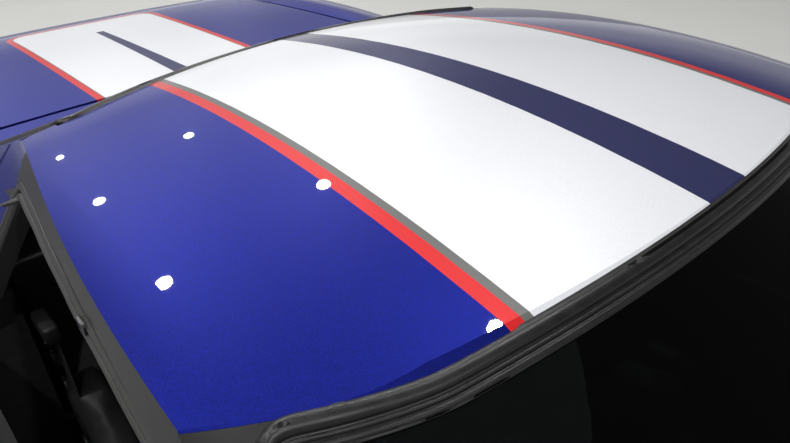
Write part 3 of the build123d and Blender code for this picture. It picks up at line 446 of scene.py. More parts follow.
def add_tyre(x, y, radius, width, rim_radius):
    """A tyre, spun from its section and cut into tread blocks, left active."""
    half_rim = (width - 0.049) / 2
    half_tread = width / 2 - 0.018
    half_wall = width / 2
    half = [(0.0, 0.0)]
    grooves = [half_tread * 0.14, half_tread * 0.56]
    for middle in grooves:
        for step, depth in ((-0.0052, 0.0), (-0.0040, GROOVE_DEPTH), (0.0040, GROOVE_DEPTH), (0.0052, 0.0)):
            half.append((middle + step, depth))
    half += [
        (half_tread - 0.014, 0.0), (half_tread - 0.004, 0.0022), (half_tread, 0.006),
        (half_wall - 0.0085, 0.013), (half_wall - 0.004, 0.020),
    ]
    outer = [(radius - depth, across) for across, depth in half]
    wall = [
        (radius - 0.030, half_wall - 0.0012), (radius - 0.038, half_wall - 0.0002),
        (radius - 0.040, half_wall - 0.0016), (rim_radius + 0.060, half_wall),
        (rim_radius + 0.050, half_wall - 0.0004), (rim_radius + 0.048, half_wall - 0.0020),
        (rim_radius + 0.036, half_wall - 0.0030), (rim_radius + 0.028, half_wall - 0.0070),
        (rim_radius + 0.024, half_wall - 0.0105), (rim_radius + 0.0205, half_wall - 0.0115),
        (rim_radius + 0.0135, half_rim - 0.0003), (rim_radius + 0.0003, half_rim - 0.0003),
    ]
    half_section = outer + wall
    section = [(r, y + across) for r, across in reversed(half_section)]
    section += [(r, y - across) for r, across in half_section[1:]]
    deselect()
    bpy.ops.mesh.primitive_circle_add(vertices=len(section), radius=0.1, fill_type="NOTHING")
    made = bpy.context.object
    for vertex, (r, across) in zip(made.data.vertices, section):
        vertex.co = (x + r, across, radius)
    edited(
        spin={"steps": TREAD_STEPS, "angle": 2 * math.pi, "center": (x, 0, radius), "axis": (0, 1, 0)},
        remove_doubles={"threshold": MERGE_REACH}, normals_make_consistent={"inside": False},
        select_all={"action": "DESELECT"}
    )
    shoulder = half_tread * 0.60
    for face in made.data.polygons:
        middle = face.center
        reach = math.hypot(middle.x - x, middle.z - radius)
        across = middle.y - y
        step = math.floor(math.degrees(math.atan2(middle.z - radius, middle.x - x)) / 1.5 + 0.5)
        in_rib = half_tread * 0.20 < abs(across) < half_tread * 0.52
        in_shoulder = shoulder < abs(across) < half_tread
        offset = 0 if across > 0 else 3
        cut_here = (in_shoulder and (step + offset) % 6 == 0) or (in_rib and (step + offset + 2) % 12 == 0)
        face.select = cut_here and reach > radius - 0.004
    bpy.ops.object.mode_set(mode="EDIT")
    bpy.ops.mesh.select_mode(type="FACE")
    bpy.ops.mesh.extrude_region_shrink_fatten(TRANSFORM_OT_shrink_fatten={"value": -0.005})
    bpy.ops.mesh.select_mode(type="VERT")
    bpy.ops.object.mode_set(mode="OBJECT")
    return made


for axle, x, wheel_y, z, tyre_width, rim_radius in WHEEL_TABLE:
    for side, hand in SIDES:
        add_tyre(x, side * wheel_y, z, tyre_width, rim_radius)
        tyre = settled(f"treaded_tyre_{axle}_{hand}", tyre_rubber, body_named(f"tyre_{axle}_{hand}"), 35)
        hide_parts(f"tyre_{axle}_{hand}")


# Power unit and exhaust
# One cast engine with ribbed rocker covers, an intake plenum with eight runners and a belt drive in front.
# The exhaust is stainless steel, with a wide cross silencer and four polished outlets.
dress(["engine_block", "exhaust"], cast_alloy)
steel_tube = plain_finish(
    "stainless exhaust", (0.30, 0.29, 0.27), (0.46, 0.45, 0.43), 18.0, 0.0002, (0.25, 0.42), Metallic=1.0
)
rounded_copy("exhaust", "exhaust_system", steel_tube, 0.004)
rounded_copy("engine_block", "engine_casting", cast_alloy, 0.010)
black_plastic = plain_finish(
    "black grained plastic", (0.014, 0.014, 0.015), (0.026, 0.026, 0.028), 900.0, 0.0003, (0.38, 0.58), 0.4,
    detail=0.0
)
for side, hand in SIDES:
    ribs = [add_block((0.785, side * 0.085, 0.688), (1.165, side * 0.275, 0.706), 0.006, 3)]
    for number in range(7):
        y_at = side * (0.105 + 0.025 * number)
        ribs.append(add_block((0.800, y_at - 0.004, 0.704), (1.150, y_at + 0.004, 0.711), 0.0015))
    settled(f"rocker_cover_{hand}", forged_black, parts=ribs)
runners = []
for number in range(4):
    for side in (1, -1):
        x_at = 0.845 + 0.085 * number
        runners.append(add_bar((x_at, side * 0.060, 0.722), (x_at, side * 0.150, 0.708), 0.018, 16, 0.002))
runners.append(add_block((0.805, -0.075, 0.700), (1.145, 0.075, 0.742), 0.014, 4))
runners.append(add_bar((1.140, 0.0, 0.722), (1.178, 0.0, 0.722), 0.018, 24, 0.002))
settled("intake_plenum", black_plastic, parts=runners)
for name, y_at, z_at, pulley in (("crank", 0.0, 0.33, 0.075), ("water_pump", 0.0, 0.49, 0.055),
                                 ("alternator", 0.14, 0.52, 0.034), ("idler", -0.13, 0.50, 0.030)):
    turned = [
        # rear x, front x, share of the pulley's radius, sides
        (1.189, 1.196, 0.6, 32), (1.196, 1.202, 1.0, 48), (1.202, 1.214, 0.95, 48), (1.214, 1.218, 1.0, 48),
        (1.217, 1.222, 0.3, 24),
    ]
    discs = [
        add_bar((rear, y_at, z_at), (front, y_at, z_at), pulley * share, sides, 0.001)
        for rear, front, share, sides in turned
    ]
    settled(f"pulley_{name}", damper_zinc, parts=discs)


def add_ring(place, rotation, radius, sides=8):
    """A thin ring of round section, left active."""
    deselect()
    bpy.ops.mesh.primitive_torus_add(
        location=place, rotation=rotation, major_radius=radius, minor_radius=0.0022, major_segments=48,
        minor_segments=sides
    )
    bpy.ops.object.transform_apply()
    return bpy.context.object


# A thin black disc closes each outlet: painted shade standing in for the dark inside of the pipe.
for y_at in (-0.125, -0.045, 0.045, 0.125):
    add_bar((-2.2356, y_at, 0.295), (-2.2352, y_at, 0.295), 0.0318, 48)
    settled(f"outlet_painted_shade_{round(1000 * y_at) + 125}", black_rubber)
    add_ring((-2.2345, y_at, 0.295), (0, math.pi / 2, 0), 0.0335, 10)
    settled(f"outlet_rim_{round(1000 * y_at) + 125}", chrome)


# Cabin floor, instrument panel, console and steering wheel
# The floor is covered in black loop carpet. The instrument panel and console are soft-skinned black mouldings
# with round dials under a hood, slotted vents and a leather gaiter round the gear lever.
carpet = plain_finish(
    "black loop carpet", (0.028, 0.028, 0.030), (0.008, 0.008, 0.009), 420.0, 0.002, (0.95, 0.95), 0.9, 0.0,
    Sheen_Weight=0.3
)
leather = Finish("black leather")
grain = leather.cells(520.0)
folds = leather.noise(16.0, 3.0)
leather = leather.set(
    Base_Color=leather.blend(folds, (0.010, 0.010, 0.011), (0.026, 0.026, 0.028)),
    Roughness=folds * 0.16 + grain * 0.1 + 0.34, Normal=leather.bump(grain * 0.6 + folds * 0.8, 0.35, 0.0009)
)
soft_skin = Finish("soft black moulding")
grain = soft_skin.cells(700.0)
patch = soft_skin.noise(8.0, 2.0)
soft_skin = soft_skin.set(
    Base_Color=soft_skin.blend(patch, (0.012, 0.012, 0.013), (0.022, 0.022, 0.023)),
    Roughness=grain * 0.15 + 0.48, Normal=soft_skin.bump(grain, 0.45, 0.0004)
)
rounded_copy("dashboard", "instrument_panel", soft_skin, 0.010)
rounded_copy("console", "centre_console", soft_skin, 0.008)
rounded_copy("steering_wheel", "steering_wheel_cover", leather, 0.003)
dress(["door_trim_left", "door_trim_right"], soft_skin)
for side, hand in SIDES:
    add_block((-0.765, side * 0.1505, 0.1802), (0.634, side * 0.634, 0.1870), 0.003)
    settled(f"carpet_{hand}", carpet)
add_block((-1.88, -0.58, 0.5752), (-0.772, 0.58, 0.584), 0.003)
settled("carpet_luggage_floor", carpet)


dial_face = Finish("black dial face", Base_Color=(0.010, 0.010, 0.011), Roughness=0.35).material
dial_white = Finish("white dial marks", Base_Color=(0.75, 0.75, 0.72), Roughness=0.5).material
needle_red = Finish("red needle", Base_Color=(0.55, 0.03, 0.01), Roughness=0.4).material
DIAL_PLANE_X = 0.3735
dial_table = [
    # y, z, radius, ticks, needle angle
    (0.455, 0.722, 0.040, 17, 215.0),
    (0.365, 0.726, 0.050, 21, 205.0),
    (0.262, 0.726, 0.050, 17, 225.0),
    (0.175, 0.718, 0.030, 9, 250.0),
]
rings, faces, marks, needles = [], [], [], []


def on_dial(x_at, y_at, z_at, reach, degrees):
    """A point at an angle on a dial, as the driver sees it."""
    angle = math.radians(degrees)
    return (x_at, y_at - reach * math.cos(angle), z_at + reach * math.sin(angle))


for y_at, z_at, radius, ticks, needle_angle in dial_table:
    front = DIAL_PLANE_X - 0.004
    faces.append(add_bar((DIAL_PLANE_X + 0.004, y_at, z_at), (front, y_at, z_at), radius, 48))
    rings.append(add_ring((front, y_at, z_at), (0, math.pi / 2, 0), radius))
    for tick in range(ticks):
        angle = 225 - 270 * tick / (ticks - 1)
        inner_share = 0.76 if tick % 2 == 0 else 0.84
        outer = on_dial(front, y_at, z_at, radius * 0.92, angle)
        inner = on_dial(front, y_at, z_at, radius * inner_share, angle)
        marks.append(add_bar(inner, outer, 0.0007, 6))
    tip = on_dial(front - 0.001, y_at, z_at, radius * 0.80, needle_angle)
    needles.append(add_bar((front - 0.001, y_at, z_at), tip, 0.0009, 6))
    needles.append(add_bar((front, y_at, z_at), (front - 0.004, y_at, z_at), radius * 0.10, 20, 0.0004))
for parts, name, finish in ((faces, "dial_faces", dial_face), (rings, "dial_rings", chrome),
                            (marks, "dial_marks", dial_white), (needles, "dial_needles", needle_red)):
    settled(name, finish, parts=parts)
vents = []
for middle in (-0.56, -0.09, 0.09, 0.60):
    for number in range(5):
        low_z = 0.742 - 0.010 * number - 0.0018
        high_z = 0.742 - 0.010 * number + 0.0018
        vents.append(add_block((0.368, middle - 0.040, low_z), (0.3835, middle + 0.040, high_z), 0.001))
    vents.append(add_block((0.3665, middle - 0.044, 0.746), (0.3835, middle + 0.044, 0.750), 0.0015))
    vents.append(add_block((0.3665, middle - 0.044, 0.694), (0.3835, middle + 0.044, 0.698), 0.0015))
settled("air_vents", black_plastic, parts=vents)
knobs = []
for y_at in (-0.075, 0.0, 0.075):
    knobs.append(add_bar((0.392, y_at, 0.630), (0.366, y_at, 0.632), 0.017, 32, 0.002))
knobs.append(add_block((0.374, -0.085, 0.655), (0.390, 0.085, 0.685), 0.002))
settled("heater_and_radio", black_plastic, parts=knobs)


def add_ball(place, radius, rings=16):
    """A ball, left active."""
    deselect()
    bpy.ops.mesh.primitive_uv_sphere_add(segments=32, ring_count=rings, radius=radius, location=place)
    return bpy.context.object


gaiter = add_bar((0.120, 0, 0.498), (0.120, 0, 0.560), 0.052, 10, end_radius=0.013)
edited(subdivide={"number_cuts": 5})
for vertex in gaiter.data.vertices:
    spread = 1.0 + 0.10 * math.sin(vertex.co.z * 520.0)
    vertex.co.x = 0.120 + (vertex.co.x - 0.120) * spread
    vertex.co.y *= spread
settled("gear_gaiter", leather, smooth=50)
add_ball((0.120, 0, 0.594), 0.0245, 20).scale = (1.0, 0.95, 1.1)
settled("gear_knob", leather)
lever = [
    add_block((-0.250, -0.085, 0.498), (-0.215, -0.055, 0.520), 0.004),
    add_bar((-0.235, -0.070, 0.510), (-0.060, -0.070, 0.560), 0.012, 20, 0.003),
]
settled("handbrake", leather, parts=lever)
add_block((-0.500, -0.100, 0.4985), (-0.300, 0.100, 0.532), 0.012, 4)
settled("console_lid", leather)


# Steering wheel pad and stalks
# A leather rim on three spokes round a moulded pad with an eased edge. Two plastic stalks stand out of the
# shroud behind it. The pad bears no badge.
HUB = Vector((0.250, 0.370, 0.770))
LEAN = math.radians(24)
hub_axis = Vector((math.cos(LEAN), 0.0, -math.sin(LEAN)))
pad = add_bar(HUB - hub_axis * 0.030, HUB + hub_axis * 0.004, 0.062, 40, 0.010)
shaped(pad, "BEVEL", width=0.006, segments=3, limit_method="ANGLE")
settled("steering_pad", soft_skin, body_named("steering_wheel"))
stalks = []
for side in (1, -1):
    foot = HUB + hub_axis * 0.075 + Vector((0, side * 0.030, 0))
    tip = HUB + hub_axis * 0.062 + Vector((0, side * 0.150, 0.012))
    stalks.append(add_bar(foot, tip, 0.0065, 20, 0.001, end_radius=0.0085))
    stalks.append(add_bar(tip, tip + (tip - foot).normalized() * 0.020, 0.0095, 20, 0.003))
settled("column_stalks", black_plastic, parts=stalks)


# Seats
# Two bucket seats in black leather over shaped foam: a cushion and a back between firm bolsters, with a head
# rest, on a shell with runners. Each pad is swollen by a cloth run.
SEAT_PADS = [
    # name, outline in x and z, low y, high y, cap
    ("cushion", [(-0.050, 0.262), (-0.050, 0.330), (-0.092, 0.362), (-0.515, 0.335), (-0.550, 0.300),
                 (-0.550, 0.232), (-0.100, 0.226)], -0.160, 0.160, 0.016),
    ("back", [(-0.512, 0.345), (-0.662, 0.715), (-0.672, 0.750), (-0.738, 0.745), (-0.733, 0.700),
              (-0.612, 0.280), (-0.535, 0.250)], -0.160, 0.160, 0.016),
    ("head_rest", [(-0.672, 0.772), (-0.696, 0.885), (-0.715, 0.900), (-0.765, 0.895), (-0.770, 0.878),
                   (-0.742, 0.768)], -0.118, 0.118, 0.012),
    ("cushion_bolster", [(-0.072, 0.250), (-0.072, 0.368), (-0.118, 0.396), (-0.515, 0.386), (-0.548, 0.300),
                         (-0.548, 0.232)], 0.172, 0.222, 0.010),
    ("back_bolster", [(-0.482, 0.368), (-0.566, 0.636), (-0.652, 0.724), (-0.722, 0.722), (-0.733, 0.690),
                      (-0.604, 0.272), (-0.548, 0.234)], 0.172, 0.222, 0.010),
]
CLOTH_FRAMES = 20
SEAT_MIDDLE = 0.400


def add_prism(outline, low_y, high_y):
    """A solid with an outline in x and z, drawn out along y, left active."""
    deselect()
    bpy.ops.mesh.primitive_circle_add(vertices=len(outline), radius=0.1, fill_type="NGON")
    made = bpy.context.object
    for vertex, (x_at, z_at) in zip(made.data.vertices, outline):
        vertex.co = (x_at, low_y, z_at)
    edited(
        extrude_region_move={"TRANSFORM_OT_translate": {"value": (0, high_y - low_y, 0)}},
        normals_make_consistent={"inside": False}
    )
    return made


def swell(made, cap):
    """Remeshes the active piece, blows it up as a stuffed cover for twenty frames and keeps the result."""
    shaped(made, "REMESH", mode="VOXEL", voxel_size=0.006)
    start = [vertex.co.copy() for vertex in made.data.vertices]
    cloth = made.modifiers.new("cloth", "CLOTH")
    cloth.settings.use_pressure = True
    cloth.settings.uniform_pressure_force = 4.0
    cloth.settings.effector_weights.gravity = 0.0
    cloth.settings.quality = 4
    cloth.collision_settings.use_collision = False
    cloth.point_cache.frame_start = 1
    cloth.point_cache.frame_end = CLOTH_FRAMES
    for step in range(1, CLOTH_FRAMES + 1):
        bpy.context.scene.frame_set(step)
    bpy.ops.object.modifier_apply(modifier=cloth.name)
    bpy.context.scene.frame_set(1)
    for vertex, place in zip(made.data.vertices, start):
        moved = vertex.co - place
        if moved.length > cap:
            vertex.co = place + moved.normalized() * cap
    shaped(made, "SMOOTH", iterations=6, factor=0.5)
    return made


for name, outline, low_y, high_y, cap in SEAT_PADS:
    master = swell(add_prism(outline, low_y, high_y), cap)
    turns = (1, -1) if "bolster" in name else (1,)
    for side, hand in SIDES:
        for turn in turns:
            pad = copy_of(master.data, "pad")
            if turn < 0:
                pad.scale = (1, -1, 1)
                bpy.ops.object.transform_apply()
                edited(normals_make_consistent={"inside": False})
            pad.location = (0, side * SEAT_MIDDLE, 0)
            end = "" if len(turns) == 1 else ("_outer" if turn == side else "_inner")
            settled(f"seat_{hand}_{name}{end}", leather, smooth=80)
            if name == "cushion":
                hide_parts(f"seat_{hand}")
    bpy.data.objects.remove(master)
for side, hand in SIDES:
    middle = side * SEAT_MIDDLE
    shell = [
        add_block((-0.500, middle - 0.180, 0.1803), (-0.120, middle - 0.160, 0.232), 0.002),
        add_block((-0.500, middle + 0.160, 0.1803), (-0.120, middle + 0.180, 0.232), 0.002),
        add_block((-0.545, middle - 0.205, 0.222), (-0.095, middle + 0.205, 0.238), 0.004),
        add_bar((-0.715, middle - 0.050, 0.730), (-0.722, middle - 0.050, 0.800), 0.006, 16),
        add_bar((-0.715, middle + 0.050, 0.730), (-0.722, middle + 0.050, 0.800), 0.006, 16),
    ]
    settled(f"seat_runners_{hand}", underbody_black, parts=shell)


# Body panels
# The outer panels of the coupe are sprayed metallic deep blue under clear coat. A silver band with a dark
# centre stripe runs nose to tail, edged in grey and red, laid over the panels as one continuous pattern.
HEADER_X = 0.049
ROOF_BAND_FRONT = 0.339
ROOF_BAND_TAPER = 0.0477
BONNET_X = 0.60
BONNET_BAND = 0.352
BONNET_BAND_TAPER = -0.045
DECK_X = -0.85
CENTRE_FRONT = 0.047
CENTRE_TAPER = 0.017
GREY_WIDTH = 0.011
RED_WIDTH = 0.018
DECK_BAND = 0.237
DECK_END_X = -2.17
DECK_CORNER = 0.05
DEEP_BLUE = (0.002, 0.006, 0.120)
FLAKE_BLUE = (0.007, 0.018, 0.360)
BAND_SILVER = (0.74, 0.75, 0.79)
FLAKE_SILVER = (0.84, 0.85, 0.88)
BORDER_GREY = (0.13, 0.13, 0.125)
BORDER_RED = (0.62, 0.006, 0.008)
CENTRE_BLUE = (0.020, 0.022, 0.085)
DUST_GREY = (0.55, 0.55, 0.52)
paint = Finish("deep blue metallic paint", Coat_Weight=1.0, Coat_Roughness=0.015, Coat_IOR=1.5)
x, y, z = paint.place()
from_centre = abs(y)
on_deck = x < DECK_X
on_bonnet = x > BONNET_X
roof_edge = (x - HEADER_X) * ROOF_BAND_TAPER + ROOF_BAND_FRONT
past_end = (DECK_END_X + DECK_CORNER - x).most(0.0)
past_side = (from_centre - (DECK_BAND - DECK_CORNER)).most(0.0)
corner_reach = (past_end * past_end + past_side * past_side).math("SQRT")
deck_reach = corner_reach - DECK_CORNER
bonnet_edge = (x - BONNET_X) * BONNET_BAND_TAPER + BONNET_BAND
roof_reach = from_centre - roof_edge * (1.0 - on_bonnet) - bonnet_edge * on_bonnet
reach = roof_reach * (1.0 - on_deck) + deck_reach * on_deck
centre_edge = (x - HEADER_X).math("MINIMUM", 0.0) * CENTRE_TAPER + CENTRE_FRONT
grey_end = GREY_WIDTH * (1.0 - on_deck) + 0.003 * on_deck
in_band = reach < 0.0
in_grey = reach < grey_end
in_red = reach < grey_end + RED_WIDTH
in_centre = (from_centre < centre_edge) * (x > -2.0)
flakes = paint.cells(1500.0, "Color")
flake = paint.node("ShaderNodeSeparateColor", {}, {"Color": flakes}, "Red")
cloud = paint.noise(2.2, 2.0)
blue = paint.blend(flake * 0.75 + cloud * 0.25, DEEP_BLUE, FLAKE_BLUE)
silver = paint.blend(flake, BAND_SILVER, FLAKE_SILVER)
navy = paint.blend(flake, CENTRE_BLUE, tuple(1.7 * part for part in CENTRE_BLUE))
in_stripe = in_centre * in_band
dust = (paint.cells(330.0) < 0.055) * (paint.noise(9.0, 2.0) > 0.56)
colour = blue
for share, over in (
    (in_red, BORDER_RED), (in_grey, BORDER_GREY), (in_band, silver), (in_stripe, navy),
    (dust * 0.35, DUST_GREY),
):
    colour = paint.blend(share, colour, over)
metallic = 0.82 - in_red * 0.62 + in_band * 0.10 + in_stripe * 0.20
blue_paint = paint.set(
    Base_Color=colour, Metallic=metallic, Roughness=flake * 0.12 + 0.42 + dust * 0.3,
    Normal=paint.bump(flake, 0.05, 0.0004)
)
trim_black = plain_finish(
    "satin black trim", (0.010, 0.010, 0.011), (0.010, 0.010, 0.011), 500.0, 0.0003, (0.30, 0.42), 0.15, 3.0
)
headliner = plain_finish("grey headliner cloth", (0.10, 0.10, 0.105), (0.15, 0.15, 0.155), 1200.0, 0.0006,
                         (0.85, 0.95))
painted_panels = [
    "bonnet", "boot_lid", "deck_panel", "door_left", "door_right", "front_fascia", "front_fender_left",
    "front_fender_right", "quarter_panel_left", "quarter_panel_right", "rear_fascia", "roof_panel", "sills",
]
dress(painted_panels, blue_paint, trim_black, headliner)
dress(["windshield_frame"], trim_black, trim_black, headliner)
cabin_middle = Vector((-0.45, 0.0, 0.60))
for name in ("roof_panel", "windshield_frame"):
    for face in nodes[name].data.polygons:
        outward = face.center - cabin_middle
        if face.normal.dot(outward) < -0.02 and face.center.z > 0.85:
            face.material_index = 2
# The roof's own side face above each door window is the black gutter strip.
for face in nodes["roof_panel"].data.polygons:
    above_window = face.center.z > 1.09 and face.center.x > -0.70
    if above_window and abs(face.normal.y) > 0.7 and 0.2 < face.normal.z < 0.66:
        face.material_index = 1


# Glass and its mouldings
# The windshield and the upright rear window are laminated and toughened glass, tinted and bonded in with
# black urethane. Black rubber mouldings cover the joint: a half-round lip by the panel, a groove and two
# thin ridges.
# The glass colour is partly its real tint and partly painted shade: it is far darker than real glass and
# stands in for the dim cabin seen through it.
tint_and_painted_shade_glass = Finish(
    "tinted glass with painted shade", Base_Color=(0.05, 0.06, 0.06), Roughness=0.0, IOR=1.45, Transmission_Weight=1.0
).material
dress(["windshield_glass", "rear_glass"], tint_and_painted_shade_glass)
outer_nodes = [
    nodes[name] for name in (
        "windshield_moulding", "windshield_glass", "windshield_frame", "rear_glass_moulding", "rear_glass",
        "roof_panel", "door_weatherstrips",
    )
]
MOULDING_MIDDLE = 0.0215
STRIP_STEP = 0.0075
EASING_ROUNDS = 8
LIP_SECTION = [
    # across from the joint's middle line towards the glass, height; in millimetres
    (-17.2, -0.2), (-16.4, 1.0), (-15.2, 2.6), (-13.4, 4.2), (-11.2, 5.2), (-8.8, 5.6), (-6.2, 5.3),
    (-4.0, 4.4), (-2.4, 3.0), (-1.5, 1.2), (-1.0, 0.4), (0.6, 0.4), (1.2, 1.8), (2.0, 2.7), (3.0, 3.0),
    (4.0, 2.7), (4.8, 1.8), (5.3, 0.5), (6.8, 0.5), (7.4, 1.6), (8.3, 2.4), (9.4, 2.6), (10.5, 2.3),
    (11.4, 1.5), (12.0, 0.6), (13.6, 0.5), (14.0, 0.1),
]


def skin_met(skins, start, aim):
    """The first place on any of the skins that a ray meets, and the skin's normal there."""
    best = None
    for skin in skins:
        hit, place, normal, _ = skin.ray_cast(start, aim)
        if hit and (best is None or (place - start).length < (best[0] - start).length):
            best = (place, normal)
    return best


def spaced(line, step, rounds):
    """A line of points set at even steps, with its corners eased by averaging with their neighbours."""
    lengths = [0.0]
    for first, second in zip(line, line[1:]):
        lengths.append(lengths[-1] + (second - first).length)
    count = max(2, round(lengths[-1] / step))
    even = []
    at = 0
    for number in range(count + 1):
        reach = lengths[-1] * number / count
        while at < len(lengths) - 2 and lengths[at + 1] < reach:
            at += 1
        part = (reach - lengths[at]) / (lengths[at + 1] - lengths[at])
        even.append(line[at].lerp(line[at + 1], min(part, 1.0)))
    for _ in range(rounds):
        even = even[:1] + [(a + b * 2 + c) / 4 for a, b, c in zip(even, even[1:], even[2:])] + even[-1:]
    return even


def circle_line(first, middle, last, count):
    """Points on the arc through three plan points."""
    (ax, ay), (bx, by), (cx, cy) = first, middle, last
    a_square, b_square, c_square = ax * ax + ay * ay, bx * bx + by * by, cx * cx + cy * cy
    spread = 2 * (ax * (by - cy) + bx * (cy - ay) + cx * (ay - by))
    centre_x = (a_square * (by - cy) + b_square * (cy - ay) + c_square * (ay - by)) / spread
    centre_y = (a_square * (cx - bx) + b_square * (ax - cx) + c_square * (bx - ax)) / spread
    radius = math.hypot(ax - centre_x, ay - centre_y)
    start = math.atan2(ay - centre_y, ax - centre_x)
    end = math.atan2(cy - centre_y, cx - centre_x)
    turn = (end - start + math.pi) % (2 * math.pi) - math.pi
    points = []
    for number in range(count + 1):
        angle = start + turn * number / count
        points.append(Vector((centre_x + radius * math.cos(angle), centre_y + radius * math.sin(angle))))
    return points


def add_moulding(line, section, drop, lay, reach=(-1.0, 1.0)):
    """A strip swept along a line, each point of its section dropped on the skin and raised by its height."""
    rows, columns = len(line), len(section)
    deselect()
    bpy.ops.mesh.primitive_grid_add(x_subdivisions=columns - 1, y_subdivisions=rows - 1, size=1.0)
    made = bpy.context.object
    places = []
    for row in range(rows):
        before, after = line[max(row - 1, 0)], line[min(row + 1, rows - 1)]
        along = (after - before).normalized()
        across = Vector((along[1], -along[0]))
        feet = []
        normal_sum = Vector((0.0, 0.0, 0.0))
        for offset, height in section:
            held = min(max(offset / 1000, reach[0]), reach[1])
            place, normal = drop(line[row] + across * held)
            feet.append((place + lay(across) * (offset / 1000 - held), height / 1000))
            normal_sum += normal
        normal_sum.normalize()
        places += [foot + normal_sum * height for foot, height in feet]
    for vertex, place in zip(made.data.vertices, places):
        vertex.co = place
    edited(normals_make_consistent={"inside": False})
    middle_face = made.data.polygons[len(made.data.polygons) // 2]
    skin_normal = drop(line[rows // 2])[1]
    if middle_face.normal.dot(skin_normal) < 0:
        edited(flip_normals={})
    shaped(made, "SOLIDIFY", thickness=0.0010, offset=-1.0)
    return made


def add_straight(ends, step, section, drop, lay):
    """A moulding along the straight line between two points."""
    return add_moulding(spaced([Vector(end) for end in ends], step, 0), section, drop, lay)


def flat_lay(across):
    """A plan direction as a direction in space."""
    return Vector((across[0], across[1], 0.0))


def side_lay(across):
    """A side view direction as a direction in space."""
    return Vector((across[0], 0.0, across[1]))


def dropped_from_above(spot):
    """The skin below a plan point."""
    down = Vector((0.0, 0.0, -1.0))
    found = skin_met(outer_nodes, Vector((spot[0], spot[1], 1.6)), down)
    return found or skin_met(outer_nodes, Vector((spot[0] - 0.002, spot[1], 1.6)), down)


def front_line(offset):
    """The windshield's edge in plan at an offset ahead of the roof's crease, from right pillar to left."""
    arc = circle_line((offset, 0.450), (offset - 0.043, 0.550), (offset - 0.103, 0.632), 40)
    head = circle_line((offset, -0.450), (0.049 + offset, 0.0), (offset, 0.450), 90)
    pillar = offset + 0.032

    def beside_pillar(x):
        """How far from the middle the edge runs down the pillar."""
        return 0.612 - pillar + (x + 0.203) * 0.144 / 0.723

    half = [point for point in head if point[1] >= 0]
    half += [point for point in arc[1:] if point[1] < beside_pillar(point[0])]
    half += [Vector((x, beside_pillar(x))) for x in (half[-1][0] + 0.02, 0.30, 0.492)]
    other = [Vector((point[0], -point[1])) for point in reversed(half[1:])]
    return spaced(other + half, STRIP_STEP, EASING_ROUNDS)


add_moulding(front_line(MOULDING_MIDDLE), LIP_SECTION, dropped_from_above, flat_lay)
windshield_lip = settled("windshield_lip", black_rubber, smooth=60)


def rear_line(offset):
    """The rear window's edge in plan at an offset behind the roof's crease, once round from its middle."""
    pillar = offset + 0.034
    corner = (-0.757 - offset, 0.538 - pillar)
    foot = (-1.2725 + offset * 0.55, 0.595 - pillar)
    head = circle_line(corner, (-0.830 - offset, 0.0), (corner[0], -corner[1]), 60)
    sill = circle_line((foot[0], -foot[1]), (foot[0] - 0.028, 0.0), foot, 60)
    return spaced(head[30:] + sill + head[:31], STRIP_STEP, EASING_ROUNDS)


add_moulding(rear_line(MOULDING_MIDDLE), LIP_SECTION, dropped_from_above, flat_lay)
rear_lip = settled("rear_glass_lip", black_rubber, smooth=60)


# Door opening weatherstrips
# A hollow rubber tube on a steel core grips each window opening's flange. A wide outer lip, dusty and a
# little worn, laps the paint, and a black clip holds the strip above the door.
strip_rubber = Finish("dusty strip rubber")
patch = strip_rubber.noise(24.0, 5.0)
grit = strip_rubber.noise(900.0, 2.0)
strip_rubber = strip_rubber.set(
    Base_Color=strip_rubber.blend(patch * 0.6 + grit * 0.4, (0.014, 0.014, 0.014), (0.075, 0.073, 0.070)),
    Roughness=patch * 0.2 + 0.45, Normal=strip_rubber.bump(grit, 0.4, 0.0004)
)
STRIP_SECTION = [
    # across from the paint's edge into the opening, height above the strip's seat; in millimetres
    (-1.8, 4.4), (-1.5, 6.0), (0.3, 7.0), (2.5, 7.6), (5.0, 7.7), (7.0, 7.0), (8.3, 5.4), (8.8, 3.0),
    (9.3, 1.3), (10.2, 1.3), (10.7, 3.0), (11.6, 4.8), (13.0, 6.0), (14.6, 6.4), (16.2, 6.0), (17.8, 4.8),
    (18.9, 3.0), (19.4, 1.0), (19.6, -3.0),
]
OPENING_LINE = [
    (-0.7095, 0.950), (-0.6724, 1.122), (-0.530, 1.136), (-0.390, 1.139), (-0.250, 1.131), (-0.116, 1.112),
    (0.275, 0.919),
]
opening = spaced([Vector(point) for point in OPENING_LINE], STRIP_STEP, EASING_ROUNDS)
for side, hand in SIDES:

    def dropped_from_side(spot):
        """The strip's seat level with a point of the side view."""
        middle = Vector((-0.35, 1.02))
        for share in (0.0, 0.01, 0.02, 0.03, 0.05, 0.08):
            eased = spot.lerp(middle, share)
            hit, place, normal, _ = nodes["door_weatherstrips"].ray_cast(
                Vector((eased[0], side * 1.2, eased[1])), Vector((0.0, -side, 0.0))
            )
            if hit:
                return Vector((spot[0], place.y, spot[1])), normal
        return Vector((spot[0], side * 0.62, spot[1])), Vector((0.0, side, 0.0))

    add_moulding(opening, STRIP_SECTION, dropped_from_side, side_lay, (0.0015, 0.0185))
    settled(f"weatherstrip_{hand}", strip_rubber, smooth=60)
    clip_place, _ = dropped_from_side(Vector((-0.300, 1.124)))
    add_block(
        (clip_place.x - 0.011, clip_place.y - 0.005, clip_place.z - 0.009),
        (clip_place.x + 0.011, clip_place.y + 0.009 * side + 0.001, clip_place.z + 0.011), 0.003, 3
    )
    settled(f"weatherstrip_clip_{hand}", trim_black)
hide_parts("windshield_moulding")
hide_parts("rear_glass_moulding")


